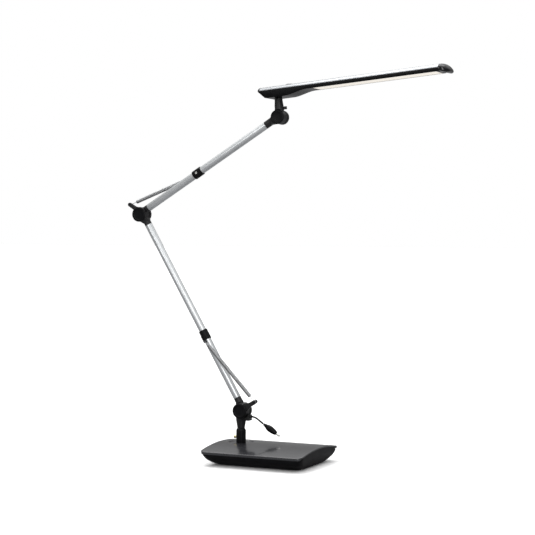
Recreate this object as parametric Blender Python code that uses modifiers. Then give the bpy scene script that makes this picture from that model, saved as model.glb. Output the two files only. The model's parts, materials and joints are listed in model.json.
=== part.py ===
"""Swing arm LED desk lamp, modelled piece by piece.

Frame: origin on the desk under the centre of the base, +X along the arms towards the tip of the
head, -Y towards the front, +Z up.  Lengths are in metres; MM turns millimetres into metres.

The lamp stands on a weighted base.  A mast turns in a fluted sleeve and carries a lower arm, an
upper arm and a slim head.  Each arm is held up by an extension spring between an ear on the fork
below it and a collar on its tube.
"""
import math

import bmesh
import bpy
from mathutils import Matrix, Vector

MM = 0.001
GAP = 0.3 * MM              # clearance between touching pieces

# ---- driving dimensions ---------------------------------------------------------------------
BASE_LENGTH = 188 * MM
BASE_DEPTH = 161 * MM
BASE_EDGE = 24.5 * MM       # height of the cover's edge above the desk
BASE_CREST = 8 * MM         # how far the cover arches above its edge
BASE_CORNER = 11 * MM
COVER_WALL = 2.2 * MM
COVER_LIP = 4.5 * MM        # depth of the lip along the cover's long sides
TRAY_WALL = 3 * MM
TRAY_FOOT = 1.5 * MM        # height of the tray's underside
FOOT_HALF = 54 * MM         # half the depth of the tray's flat underside
BALLAST = (132 * MM, 96 * MM, 8.5 * MM)
SCREW_X, SCREW_Y = 72 * MM, 45 * MM

MAST_X = -57.3 * MM
MAST_Y = 6 * MM
HINGE_AHEAD = 2.3 * MM      # the lower pivot stands this far in front of the mast's axis
DISH_RADIUS = 20 * MM       # the shallow dish round the sleeve
DISH_FLOOR = 30.2 * MM
PLUG_BOTTOM = 26.4 * MM     # underside of the thick part below the dish
SLEEVE_RADIUS = 8.4 * MM
SLEEVE_TOP = 55.6 * MM
SHANK_RADIUS = 6 * MM
PIN_RADIUS = 4 * MM
FLUTES = 12

TUBE_RADIUS = 6.35 * MM
TUBE_BORE = 5.45 * MM
PLUG_RADIUS = 5.1 * MM
PLUG_DEPTH = 22 * MM
TUBE_OFFSET = 2.6 * MM      # a tube's axis runs beside the line of its pivots, on its spring's side

LOWER_PIVOT = 86.2 * MM     # height of the lower pivot
LOWER_LEAN = -30.4          # degrees from upright, towards +X
LOWER_LENGTH = 391.4 * MM   # pivot to pivot
LOWER_TUBE = (23.3 * MM, 368 * MM)
UPPER_LEAN = 58.75
UPPER_LENGTH = 315 * MM
UPPER_TUBE = (18.6 * MM, 286.3 * MM)
NECK_LEAN = -4.8
NECK_LENGTH = 32.2 * MM

EAR_REACH = 34 * MM         # hinge axis to spring screw
EAR_LEAN = 59.0             # degrees from upright, towards the ear's own side
SPRING_SIDE = 11.8 * MM     # the springs run beside the tubes
SPRING_ANCHOR = 135 * MM    # distance of a collar's spring hole along the arm
COIL_RADIUS = 3.3 * MM
SPRING_WIRE = 0.5 * MM
HOOK_RADIUS = 2.3 * MM

HEAD_HALF = 21 * MM
HEAD_REAR = -28 * MM
HEAD_SPLIT = 292 * MM       # where the end cap starts
HEAD_TIP = 308.5 * MM
HEAD_RIM = 13.3 * MM        # top of the black frame above the head's own origin
HEAD_DEEP = 0.6 * MM        # its underside at the neck
HEAD_SLIM = 7.4 * MM        # its underside along the light
HEAD_CROWN = 7.5 * MM       # how far the metal cover arches above the rim
HEAD_FLOOR = 1.7 * MM
LIGHT = (71 * MM, 287.5 * MM)
BOARD = (9.9 * MM, 11.1 * MM)
LED_COUNT = 20
BUTTON_AT = 22 * MM
BUTTON_RADIUS = 6 * MM

# ---- the hinge, shared by the three joints ----------------------------------------------------
ARM_CHEEK = 13 * MM
HEAD_CHEEK = 12 * MM
KNUCKLE_HALF = 4.9 * MM     # half the width of the turning knuckle
CHEEK_INNER = 6.0 * MM
CHEEK_OUTER = 10.2 * MM
POCKET_DEPTH = 2.9 * MM
CAP_OUTER = 12.8 * MM
BOLT_RADIUS = 2.4 * MM
OUTLET_FACE = 16.5 * MM     # face of the mast's cable outlet, in front of the mast's axis
LONG = 60 * MM              # half-length of a cutter that goes right through


# ---- placements ---------------------------------------------------------------------------------
def shift(x=0.0, y=0.0, z=0.0):
    """A placement without rotation."""
    return Matrix.Translation((x, y, z))


def turn(degrees, axis):
    """A rotation about one axis."""
    return Matrix.Rotation(math.radians(degrees), 4, axis)


def towards(start, end):
    """A placement at start whose Z axis points at end."""
    direction = Vector(end) - Vector(start)
    return shift(*start) @ direction.to_track_quat("Z", "Y").to_matrix().to_4x4()


UPRIGHT = Matrix()
FRONT = turn(90, "X")                       # outlines of (x, z); thickness runs towards -Y
ACROSS = turn(90, "Z") @ turn(90, "X")      # outlines of (y, z); thickness runs towards +X


# ---- general helpers ----------------------------------------------------------------------------
def clear_scene():
    """Remove every object of the open scene."""
    for old in list(bpy.data.objects):
        bpy.data.objects.remove(old, do_unlink=True)


def collection(name):
    """A new collection in the scene."""
    made = bpy.data.collections.new(name)
    bpy.context.scene.collection.children.link(made)
    return made


def material(name, colour, roughness, metallic=0.0):
    """A Principled material."""
    made = bpy.data.materials.new(name)
    made.use_nodes = True
    shader = made.node_tree.nodes["Principled BSDF"]
    shader.inputs["Base Color"].default_value = (*colour, 1)
    shader.inputs["Roughness"].default_value = roughness
    shader.inputs["Metallic"].default_value = metallic
    made.diffuse_color = (*colour, 1)
    return made


def frame(name, parent, place):
    """An empty that carries the pieces of one moving group; its origin is on the joint's axis."""
    empty = bpy.data.objects.new(name, None)
    empty.empty_display_size = 0.02
    PARTS.objects.link(empty)
    empty.parent = parent
    empty.matrix_local = place
    return empty


def register(name, data, place, parent, look):
    """Link a piece, or a hidden cutter when it has no material."""
    piece = bpy.data.objects.new(name, data)
    (PARTS if look else CUTTERS).objects.link(piece)
    piece.parent = parent
    piece.matrix_local = place
    if look:
        data.materials.append(look)
    else:
        piece.hide_render = True
        piece.display_type = "WIRE"
    return piece


def from_bmesh(name, bm, place, parent, look):
    """Turn a bmesh into a piece with smooth round sides."""
    bmesh.ops.recalc_face_normals(bm, faces=bm.faces)
    data = bpy.data.meshes.new(name)
    bm.to_mesh(data)
    bm.free()
    data.shade_smooth()
    data.set_sharp_from_angle(angle=math.radians(40))
    return register(name, data, place, parent, look)


def box(name, size, place, parent, look=None):
    """A box centred on its placement."""
    bm = bmesh.new()
    bmesh.ops.create_cube(bm, size=1)
    bmesh.ops.scale(bm, vec=size, verts=bm.verts)
    return from_bmesh(name, bm, place, parent, look)


def rod(name, radius, low, high, place, parent, look=None, sides=24, top=None):
    """A round bar along Z from low to high, tapered to the radius top if it is given."""
    bm = bmesh.new()
    bmesh.ops.create_cone(bm, cap_ends=True, segments=sides, radius1=radius,
                          radius2=radius if top is None else top, depth=high - low)
    bmesh.ops.translate(bm, vec=(0, 0, (high + low) / 2), verts=bm.verts)
    return from_bmesh(name, bm, place, parent, look)


def rods(name, radius, low, high, points, parent, look=None, sides=12):
    """Equal round bars along Z at several (x, y) points, in one piece."""
    bm = bmesh.new()
    for x, y in points:
        made = bmesh.ops.create_cone(bm, cap_ends=True, segments=sides, radius1=radius,
                                     radius2=radius, depth=high - low)
        bmesh.ops.translate(bm, vec=(x, y, (high + low) / 2), verts=made["verts"])
    return from_bmesh(name, bm, UPRIGHT, parent, look)


def spin(name, profile, closed, place, parent, look, steps):
    """Turn a profile of (radius, height) points about Z with a Screw modifier."""
    bm = bmesh.new()
    corners = [bm.verts.new((radius, 0, height)) for radius, height in profile]
    for pair in zip(corners, corners[1:]):
        bm.edges.new(pair)
    if closed:
        bm.edges.new((corners[-1], corners[0]))
    data = bpy.data.meshes.new(name)
    bm.to_mesh(data)
    bm.free()
    piece = register(name, data, place, parent, look)
    screw = piece.modifiers.new("turn", "SCREW")
    screw.axis = "Z"
    screw.steps = steps
    screw.render_steps = steps
    screw.use_merge_vertices = True
    screw.merge_threshold = 0.00001
    screw.use_smooth_shade = True
    return piece


def turned(name, profile, place, parent, look=None, steps=24):
    """A solid turned piece: its profile runs from the axis at the top down the outer side."""
    return spin(name, profile, False, place, parent, look, steps)


def ring(name, section, place, parent, look=None, steps=20):
    """A plain ring: its section is (inner radius, outer radius, low, high)."""
    inner, outer, low, high = section
    profile = [(inner, high), (outer, high), (outer, low), (inner, low)]
    return spin(name, profile, True, place, parent, look, steps)


def plate(name, outline, low, high, place, parent, look=None, hole=None):
    """A flat piece: an outline in XY, thick from low to high along Z, with an optional hole."""
    curve = bpy.data.curves.new(name, "CURVE")
    curve.dimensions = "2D"
    curve.fill_mode = "BOTH"
    curve.extrude = (high - low) / 2
    for points in [outline] + ([hole] if hole else []):
        spline = curve.splines.new("POLY")
        spline.points.add(len(points) - 1)
        for point, (x, y) in zip(spline.points, points):
            point.co = (x, y, 0, 1)
        spline.use_cyclic_u = True
    bm = bmesh.new()
    bm.from_mesh(curve_mesh(curve))
    bmesh.ops.remove_doubles(bm, verts=bm.verts, dist=0.00001)
    bmesh.ops.translate(bm, vec=(0, 0, (high + low) / 2), verts=bm.verts)
    return from_bmesh(name, bm, place, parent, look)


def curve_mesh(curve):
    """The mesh of a curve."""
    guide = bpy.data.objects.new("guide", curve)
    CUTTERS.objects.link(guide)
    bpy.context.view_layer.update()
    evaluated = guide.evaluated_get(bpy.context.evaluated_depsgraph_get())
    data = bpy.data.meshes.new_from_object(evaluated)
    bpy.data.objects.remove(guide)
    return data


def wire(name, points, radius, place, parent, look=None):
    """A round wire through points, with filled caps; a wire without a look becomes a welded mesh."""
    curve = bpy.data.curves.new(name, "CURVE")
    curve.dimensions = "3D"
    curve.bevel_depth = radius
    curve.bevel_resolution = 2
    curve.use_fill_caps = True
    curve.render_resolution_u = 0
    spline = curve.splines.new("POLY")
    spline.points.add(len(points) - 1)
    for point, position in zip(spline.points, points):
        point.co = (*position, 1)
    if look:
        return register(name, curve, place, parent, look)
    bm = bmesh.new()
    bm.from_mesh(curve_mesh(curve))
    bmesh.ops.remove_doubles(bm, verts=bm.verts, dist=0.00001)
    return from_bmesh(name, bm, place, parent, look)


def combine(piece, tools, operation):
    """Apply exact Booleans to a piece, one for each tool."""
    for tool in tools:
        boolean = piece.modifiers.new(tool.name, "BOOLEAN")
        boolean.operation = operation
        boolean.solver = "EXACT"
        boolean.object = tool
    return piece


def cut(piece, *tools):
    """Subtract tools from a piece."""
    return combine(piece, tools, "DIFFERENCE")


def join(piece, *tools):
    """Unite tools with a piece."""
    return combine(piece, tools, "UNION")


def trim(piece, *tools):
    """Keep what a piece has in common with its tools."""
    return combine(piece, tools, "INTERSECT")


def arc(x, y, radius, start, end, count):
    """Points on an arc, angles in degrees from +X."""
    steps = [math.radians(start + (end - start) * i / count) for i in range(count + 1)]
    return [(x + radius * math.cos(a), y + radius * math.sin(a)) for a in steps]


def circle(x, y, radius, count=32):
    """The outline of a circle."""
    return arc(x, y, radius, 0, 360, count)[:-1]


def rounded_rectangle(length, width, radius, count=4):
    """The outline of a rectangle with round corners, centred on the origin."""
    x, y = length / 2 - radius, width / 2 - radius
    return (arc(x, y, radius, 0, 90, count) + arc(-x, y, radius, 90, 180, count)
            + arc(-x, -y, radius, 180, 270, count) + arc(x, -y, radius, 270, 360, count))


# ---- base -------------------------------------------------------------------------------------------
def cover_height(y):
    """Height of the cover's top surface at a distance y from the base's long axis."""
    return BASE_EDGE + BASE_CREST * (1 - (2 * y / BASE_DEPTH) ** 2)


def arch(half, sink, count=12):
    """Points under the cover's arched surface, from +half to -half."""
    steps = [half * (1 - 2 * i / count) for i in range(count + 1)]
    return [(y, cover_height(y) - sink) for y in steps]


def base_cover(root, mast):
    """The arched cover: lips along its long sides, a dish round the sleeve, and screw bosses."""
    half = BASE_DEPTH / 2
    lip = BASE_EDGE - COVER_LIP
    section = ([(half, lip)] + arch(half, 0) + [(-half, lip), (-half + COVER_WALL, lip)]
               + arch(half - COVER_WALL, COVER_WALL)[::-1] + [(half - COVER_WALL, lip)])
    cover = plate("base_cover", section, -BASE_LENGTH / 2, BASE_LENGTH / 2, ACROSS, root, GLOSS_BLACK)
    plan = rounded_rectangle(BASE_LENGTH, BASE_DEPTH, BASE_CORNER)
    trim(cover, plate("cover_plan", plan, 0, LONG, UPRIGHT, root))
    join(cover, rod("dish_plug", DISH_RADIUS + 3 * MM, PLUG_BOTTOM, DISH_FLOOR + 1 * MM, UPRIGHT, mast,
                    sides=32))
    crest = BASE_EDGE + BASE_CREST
    cut(cover, rod("dish", DISH_RADIUS, DISH_FLOOR, crest + 1 * MM, UPRIGHT, mast, sides=32,
                   top=DISH_RADIUS + 3 * MM))
    cut(cover, rod("sleeve_hole", SHANK_RADIUS + GAP, 0, LONG, UPRIGHT, mast))
    boss_top = cover_height(SCREW_Y) - 1.2 * MM
    join(cover, rods("screw_bosses", 4.2 * MM, TRAY_FOOT + TRAY_WALL + GAP, boss_top, SCREWS, root, sides=10))
    cut(cover, rods("screw_pilots", 1.8 * MM, 0, 16 * MM, SCREWS, root, sides=10))


def tray_solid(name, inset, parent, look=None):
    """The tray's outer shape, or with an inset the hollow in it, open at the top."""
    rim = BASE_EDGE - COVER_LIP - GAP
    rim_half = BASE_DEPTH / 2 - 1 * MM - inset
    tongue = BASE_DEPTH / 2 - COVER_WALL - GAP - inset
    foot = TRAY_FOOT + inset
    foot_half = FOOT_HALF - inset / 2
    steps = [math.radians(15 * i) for i in range(7)]
    side = [(foot_half + (rim_half - foot_half) * math.cos(t) ** 1.33 if i < 6 else foot_half,
             rim - (rim - foot) * math.sin(t) ** 1.33) for i, t in enumerate(steps)]
    sink = COVER_WALL + GAP if not inset else -20 * MM
    section = arch(tongue, sink) + [(-tongue, rim)]
    section += [(-y, z) for y, z in side] + side[::-1] + [(tongue, rim)]
    solid = plate(name, section, -BASE_LENGTH / 2, BASE_LENGTH / 2, ACROSS, parent, look)
    top, mid = BASE_LENGTH / 2 - 2 * MM - inset, BASE_LENGTH / 2 - 6 * MM - inset
    foot_x = 80 * MM - inset / 2
    ends = [(-top, LONG), (-top, 17 * MM), (-mid, 9 * MM), (-foot_x, foot), (foot_x, foot), (mid, 9 * MM),
            (top, 17 * MM), (top, LONG)]
    plan = rounded_rectangle(2 * top, 2 * rim_half, BASE_CORNER - inset)
    trim(solid, plate(name + "_ends", ends, -0.1, 0.1, FRONT, parent))
    trim(solid, plate(name + "_plan", plan, 0, LONG, UPRIGHT, parent))
    return solid


def base_tray(root):
    """The tray under the cover, with holes for the four screws."""
    tray = tray_solid("base_tray", 0, root, SATIN_BLACK)
    cut(tray, tray_solid("tray_hollow", TRAY_WALL, root))
    cut(tray, rods("screw_counterbores", 3.6 * MM, 0, TRAY_FOOT + 1.4 * MM, SCREWS, root, sides=10))
    cut(tray, rods("screw_holes", 1.8 * MM, 0, 10 * MM, SCREWS, root, sides=10))


def base_inside(root):
    """Ballast, screws and the pad under the tray."""
    length, depth, thick = BALLAST
    low = TRAY_FOOT + TRAY_WALL + GAP
    plate("ballast_plate", rounded_rectangle(length, depth, 6 * MM), low, low + thick, UPRIGHT, root, RAW_STEEL,
          hole=circle(MAST_X, MAST_Y, 11 * MM, 24))
    head_low, head_high = TRAY_FOOT + 0.1 * MM, TRAY_FOOT + 1.1 * MM
    profile = [(0, 14 * MM), (1.4 * MM, 14 * MM), (1.4 * MM, head_high), (3.2 * MM, head_high),
               (3.2 * MM, head_low), (0, head_low)]
    for number, (x, y) in enumerate(SCREWS, 1):
        turned(f"base_screw_{number}", profile, shift(x, y), root, STEEL, steps=10)
    plate("base_pad", rounded_rectangle(152 * MM, 102 * MM, 8 * MM), 0, TRAY_FOOT - GAP, UPRIGHT, root,
          RUBBER)


def sleeve(mast):
    """The fluted sleeve, its washer and nut under the cover, and the brass screw that brakes the mast."""
    top = SLEEVE_TOP
    foot = DISH_FLOOR + GAP
    bore = PIN_RADIUS + GAP
    loop = [(bore, top), (SLEEVE_RADIUS - 1.8 * MM, top), (SLEEVE_RADIUS, top - 3.4 * MM),
            (SLEEVE_RADIUS, foot), (SHANK_RADIUS, foot), (SHANK_RADIUS, 16.6 * MM), (bore, 16.6 * MM)]
    body = spin("mast_sleeve", loop, True, UPRIGHT, mast, SATIN_BLACK, 24)
    grooves = circle(0, 0, SLEEVE_RADIUS + 0.8 * MM, FLUTES)
    cut(body, rods("flutes", 1.3 * MM, foot + 2 * MM, top + 1 * MM, grooves, mast, sides=6))
    side = shift(0, 0, 40 * MM) @ turn(-90, "Y")
    cut(body, rod("set_screw_hole", 1.8 * MM, 0, 20 * MM, side, mast, sides=16))
    screw = [(0, 13.5 * MM), (2.0 * MM, 13.5 * MM), (2.4 * MM, 13.1 * MM), (2.4 * MM, 8.7 * MM),
             (1.5 * MM, 8.7 * MM), (1.5 * MM, 4.9 * MM), (0, 4.9 * MM)]
    turned("sleeve_set_screw", screw, side, mast, BRASS, steps=16)
    washer_top = PLUG_BOTTOM - GAP
    ring("sleeve_washer", (SHANK_RADIUS + GAP, 14 * MM, washer_top - 1.2 * MM, washer_top), UPRIGHT, mast,
         STEEL)
    nut_top = washer_top - 1.2 * MM - GAP
    nut = rod("sleeve_nut", 9 * MM, nut_top - 4.8 * MM, nut_top, UPRIGHT, mast, STEEL, sides=6)
    cut(nut, rod("sleeve_nut_bore", SHANK_RADIUS + GAP, 0, LONG, UPRIGHT, mast))


def swivel(mast):
    """The pin that turns in the sleeve, and the clip that keeps it in."""
    groove = 3.2 * MM
    pin = [(0, 66 * MM), (PIN_RADIUS, 66 * MM), (PIN_RADIUS, 16.5 * MM), (groove, 16.5 * MM),
           (groove, 15.1 * MM), (PIN_RADIUS, 15.1 * MM), (PIN_RADIUS, 13.6 * MM), (0, 13.6 * MM)]
    turned("swivel_pin", pin, UPRIGHT, mast, STEEL, steps=16)
    ring("swivel_clip", (groove + GAP, 6 * MM, 15.4 * MM, 16.2 * MM), UPRIGHT, mast, SPRING_STEEL, steps=16)


# ---- hinges -----------------------------------------------------------------------------------------
def yoke(name, cheek, neck, parent, lean):
    """The throat of a fork: from a rectangle near the hinge to the round top of its neck."""
    radius, distance, offset = neck
    bm = bmesh.new()
    for x in (-0.6 * cheek, 0.6 * cheek):
        for y in (0.4 * MM - CHEEK_OUTER, CHEEK_OUTER - 0.4 * MM):
            bm.verts.new((x, y, -0.6 * cheek))
    for x, y in circle(offset, 0, radius - 0.4 * MM, 16):
        bm.verts.new((x, y, -distance))
    bmesh.ops.convex_hull(bm, input=bm.verts)
    return from_bmesh(name, bm, turn(lean, "Y"), parent, None)


def ear(name, cheek, side, parent):
    """The lever that holds a spring; it tapers from a cheek to a round tip."""
    tip, root = 3.4 * MM, 7.0 * MM
    outline = [(0, -root), (cheek * 0.95, -root * 0.95), (EAR_REACH * 0.62, -tip * 1.05)]
    outline += arc(EAR_REACH, 0, tip, -80, 80, 8)
    outline += [(EAR_REACH * 0.62, tip * 1.15), (cheek * 1.02, root), (0, root)]
    place = FRONT @ turn(90 - EAR_LEAN if side < 0 else 90 + EAR_LEAN, "Z")
    low, high = sorted((-side * (CHEEK_INNER + 0.2 * MM), -side * (CHEEK_OUTER - 0.3 * MM)))
    lever = plate(name, outline, low, high, place, parent)
    return cut(lever, rod(name + "_hole", 1.5 * MM, -LONG, LONG, place @ shift(EAR_REACH), parent, sides=12))


def fork(name, parent, cheek, neck, below, side, lean, *extras):
    """The fixed half of a hinge: two cheeks on a throat, a neck below, and a spring ear.

    The hinge's axis is the parent's Y axis.  neck is its top's (radius, distance, offset), below
    the rest of its profile and lean its direction.  The ear is on the front cheek for side -1,
    on the back cheek for 1, and left out for 0.
    """
    body = plate(name, circle(0, 0, cheek), -CHEEK_OUTER, CHEEK_OUTER, FRONT, parent, CAST_BLACK)
    join(body, yoke(name + "_yoke", cheek, neck, parent, lean))
    join(body, turned(name + "_neck", below, turn(lean, "Y") @ shift(neck[2]), parent, steps=20))
    if side:
        join(body, ear(name + "_ear", cheek, side, parent))
    join(body, *extras)
    slot = cheek + 0.6 * MM
    cut(body, rod(name + "_slot", slot, -CHEEK_INNER, CHEEK_INNER, FRONT, parent, sides=32))
    cut(body, rod(name + "_pocket", 5.2 * MM, CHEEK_OUTER - POCKET_DEPTH, LONG, FRONT, parent, sides=16))
    return cut(body, rod(name + "_bore", BOLT_RADIUS + GAP, -LONG, LONG, FRONT, parent, sides=14))


def knuckle(name, parent, radius, profile, offset, web_half):
    """The turning half of a hinge: a disc, and a turned shank on a web."""
    body = plate(name, circle(0, 0, radius), -KNUCKLE_HALF, KNUCKLE_HALF, FRONT, parent, CAST_BLACK)
    top = profile[-1][1] + 2 * MM
    web = [(-web_half, 0), (web_half, 0), (offset + web_half, top), (offset - web_half, top)]
    join(body, plate(name + "_web", web, -KNUCKLE_HALF, KNUCKLE_HALF, FRONT, parent))
    join(body, turned(name + "_shank", profile, shift(offset), parent, steps=20))
    return cut(body, rod(name + "_bore", BOLT_RADIUS + GAP, -LONG, LONG, FRONT, parent, sides=14))


def upper_plug(start, tube_start):
    """The profile of a shank that fills a tube from below."""
    top = tube_start + PLUG_DEPTH
    return [(0, top), (PLUG_RADIUS - 0.8 * MM, top), (PLUG_RADIUS, top - 1.5 * MM),
            (PLUG_RADIUS, tube_start - GAP), (TUBE_RADIUS, tube_start - GAP), (TUBE_RADIUS, start), (0, start)]


def lower_plug(start, tube_end):
    """The profile of a neck that fills a tube from above; both distances are below the hinge."""
    low = tube_end + PLUG_DEPTH
    return [(0, -start), (TUBE_RADIUS, -start), (TUBE_RADIUS, GAP - tube_end), (PLUG_RADIUS, GAP - tube_end),
            (PLUG_RADIUS, 1.5 * MM - low), (PLUG_RADIUS - 0.8 * MM, -low), (0, -low)]


def hinge_hardware(prefix, parent, cheek):
    """Bolt, two caps and two friction washers on the parent's Y axis.

    The bolt's head sits in the front cheek's pocket, and its thread is in the rear cheek.
    """
    head = CHEEK_OUTER - 0.2 * MM
    seat = CHEEK_OUTER - POCKET_DEPTH + GAP
    bolt = [(0, head), (4.1 * MM, head), (4.6 * MM, head - 0.6 * MM), (4.6 * MM, seat), (BOLT_RADIUS, seat),
            (BOLT_RADIUS, 0.4 * MM - head), (BOLT_RADIUS - 0.4 * MM, -head), (0, -head)]
    turned(prefix + "_bolt", bolt, FRONT, parent, STEEL, steps=14)
    inner = CHEEK_OUTER + GAP
    cap = [(0, CAP_OUTER - 0.9 * MM), (cheek * 0.66, CAP_OUTER - 0.8 * MM), (cheek * 0.72, CAP_OUTER),
           (cheek * 0.9, CAP_OUTER), (cheek, CAP_OUTER - 0.9 * MM), (cheek, inner), (0, inner)]
    turned(prefix + "_cap_front", cap, FRONT, parent, SATIN_BLACK, steps=32)
    turned(prefix + "_cap_rear", cap, turn(-90, "X"), parent, SATIN_BLACK, steps=32)
    near, far = KNUCKLE_HALF + GAP, CHEEK_INNER - GAP
    inside, outside = BOLT_RADIUS + GAP, 9 * MM
    ring(prefix + "_washer_front", (inside, outside, near, far), FRONT, parent, NYLON, steps=16)
    ring(prefix + "_washer_rear", (inside, outside, -far, -near), FRONT, parent, NYLON, steps=16)


# ---- mast and arms ----------------------------------------------------------------------------------
def mast_head(hinge):
    """The fork on the mast: a post round the swivel pin, and the block that the cable leaves."""
    post_foot = LOWER_PIVOT - SLEEVE_TOP - GAP
    post = [(0, -12 * MM), (8.5 * MM, -12 * MM), (8.5 * MM, -17.2 * MM), (SLEEVE_RADIUS - 2 * MM, -post_foot),
            (0, -post_foot)]
    mast = shift(-HINGE_AHEAD, 0, -LOWER_PIVOT)
    outlet = box("cable_outlet", (11 * MM, 12 * MM, 10 * MM),
                 mast @ shift(OUTLET_FACE - 5.5 * MM, 3 * MM, 74 * MM), hinge)
    body = fork("mast_head", hinge, ARM_CHEEK, (8.5 * MM, 17 * MM, -HINGE_AHEAD), post, -1, 0, outlet)
    cut(body, rod("pin_bore", PIN_RADIUS + GAP, -LONG, 66.4 * MM, mast, hinge))
    along_cord = mast @ shift(0, *CORD_EXIT) @ turn(90, "Y")
    cut(body, rod("cable_bore", CORD_RADIUS + 0.5 * MM, 12 * MM, 20 * MM, along_cord, hinge, sides=16))


def arm_tube(name, arm, span, offset):
    """A drawn tube between the plugs of its two fittings."""
    return ring(name, (TUBE_BORE, TUBE_RADIUS, *span), shift(offset), arm, ALUMINIUM, steps=28)


def collar(name, arm, offset, centre, block, tongue, side):
    """A sleeve clamped on a tube, with a tongue that holds the spring on one side.

    block and tongue are (low, high) spans along the tube, measured from the collar's centre.
    """
    place = shift(offset, 0, centre)
    inner, outer, half = TUBE_RADIUS + GAP, 7.75 * MM, 9 * MM
    loop = [(inner, half), (outer - 0.6 * MM, half), (outer, half - 0.6 * MM), (outer, 0.6 * MM - half),
            (outer - 0.6 * MM, -half), (inner, -half)]
    body = spin(name, loop, True, place, arm, SATIN_BLACK, 24)
    low, high = block
    join(body, box(name + "_block", (5.6 * MM, 6.0 * MM, high - low),
                   place @ shift(0, side * 10 * MM, (low + high) / 2), arm))
    low, high = tongue
    leaf = rounded_rectangle(5.6 * MM, high - low, 1.9 * MM, 3)
    join(body, plate(name + "_tongue", leaf, -1.2 * MM, 1.2 * MM,
                     place @ shift(0, side * SPRING_SIDE, (low + high) / 2) @ FRONT, arm))
    hole = place @ shift(0, side * SPRING_SIDE, SPRING_ANCHOR - centre) @ FRONT
    cut(body, rod(name + "_hole", 1.3 * MM, -4 * MM, 4 * MM, hole, arm, sides=12))
    seat = place @ turn(90 * side, "X")
    cut(body, rod(name + "_screw_hole", 1.6 * MM, 6.5 * MM, 9 * MM, seat, arm, sides=12))
    screw = [(0, 8.6 * MM), (1.9 * MM, 8.6 * MM), (2.1 * MM, 8.1 * MM), (1.25 * MM, 8.1 * MM),
             (1.25 * MM, 6.7 * MM), (0, 6.7 * MM)]
    turned(name + "_screw", screw, seat, arm, STEEL, steps=14)


def hook(name, placement, plane, at, inwards, stem, parent, look=None):
    """A wire ring round a point on the spring's axis, and its stem along that axis to the coil.

    plane is the direction that the ring's plane holds beside the axis, in the arm's frame.
    """
    across = placement.to_3x3().inverted() @ Vector(plane)
    across.z = 0
    across.normalize()
    along = Vector((0, 0, inwards))
    turns = arc(0, HOOK_RADIUS, HOOK_RADIUS, -220, 90, 10)
    points = [tuple(Vector((0, 0, at)) + across * x + along * y) for x, y in turns]
    points.append((0, 0, stem))
    return wire(name, points, SPRING_WIRE, UPRIGHT, parent, look)


def spring(prefix, hinge, arm, lean, offset, side):
    """An extension spring beside a tube, from its collar's hole to the screw on its ear.

    Its frame has its origin in the hole and its Z axis along the spring.  The coil and the hook
    in the collar are one piece; the hook round the ear's screw is another, so that the spring can
    swing and stretch.
    """
    ear_lean = math.radians(EAR_LEAN)
    screw_at = Vector((-side * EAR_REACH * math.sin(ear_lean), side * SPRING_SIDE,
                       EAR_REACH * math.cos(ear_lean)))
    start = Vector((offset, side * SPRING_SIDE, SPRING_ANCHOR))
    end = turn(-lean, "Y") @ screw_at
    length = (end - start).length
    placement = towards(start, end)
    swing = frame(prefix + "_frame", arm, placement)
    coil_start, coil_end = 9 * MM, length - 12.5 * MM
    coil = rod(prefix, COIL_RADIUS, coil_start, coil_end, UPRIGHT, swing, SPRING_STEEL, sides=16)
    join(coil, hook(prefix + "_collar_hook", placement, (0, 1, 0), 0, 1, coil_start + 1.5 * MM, swing))
    hook(prefix + "_hook", placement, (1, 0, 0), length + HOOK_RADIUS, -1, coil_end + GAP, swing, SPRING_STEEL)
    screw = [(0, 14.5 * MM), (2.0 * MM, 14.5 * MM), (2.4 * MM, 14.1 * MM), (2.4 * MM, 13.4 * MM),
             (1.2 * MM, 13.4 * MM), (1.2 * MM, 6.2 * MM), (0, 6.2 * MM)]
    turned(prefix + "_screw", screw, shift(screw_at.x, 0, screw_at.z) @ turn(-90 * side, "X"), hinge,
           BLACK_STEEL, steps=16)


# ---- cord -------------------------------------------------------------------------------------------
# The route is in millimetres from the mast's axis and the desk.
CORD_ROUTE = [(12.6, 3.0, 75.9), (14.6, 3.0, 75.9), (16.6, 3.0, 75.9), (18.7, 3.0, 75.9), (20.7, 3.2, 75.8),
              (22.7, 3.4, 75.4), (24.6, 3.8, 74.8), (26.4, 4.3, 73.9), (28.0, 4.7, 72.9), (29.6, 5.1, 71.6),
              (31.1, 5.6, 70.4), (32.6, 6.0, 69.1), (34.1, 6.4, 67.8), (35.7, 6.8, 66.6), (37.2, 7.3, 65.3),
              (38.7, 7.7, 64.1)]
CORD_RADIUS = 1.5 * MM
CORD_EXIT = (3.0 * MM, 75.9 * MM)       # its way out of the mast's block: sideways, and above the desk


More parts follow.
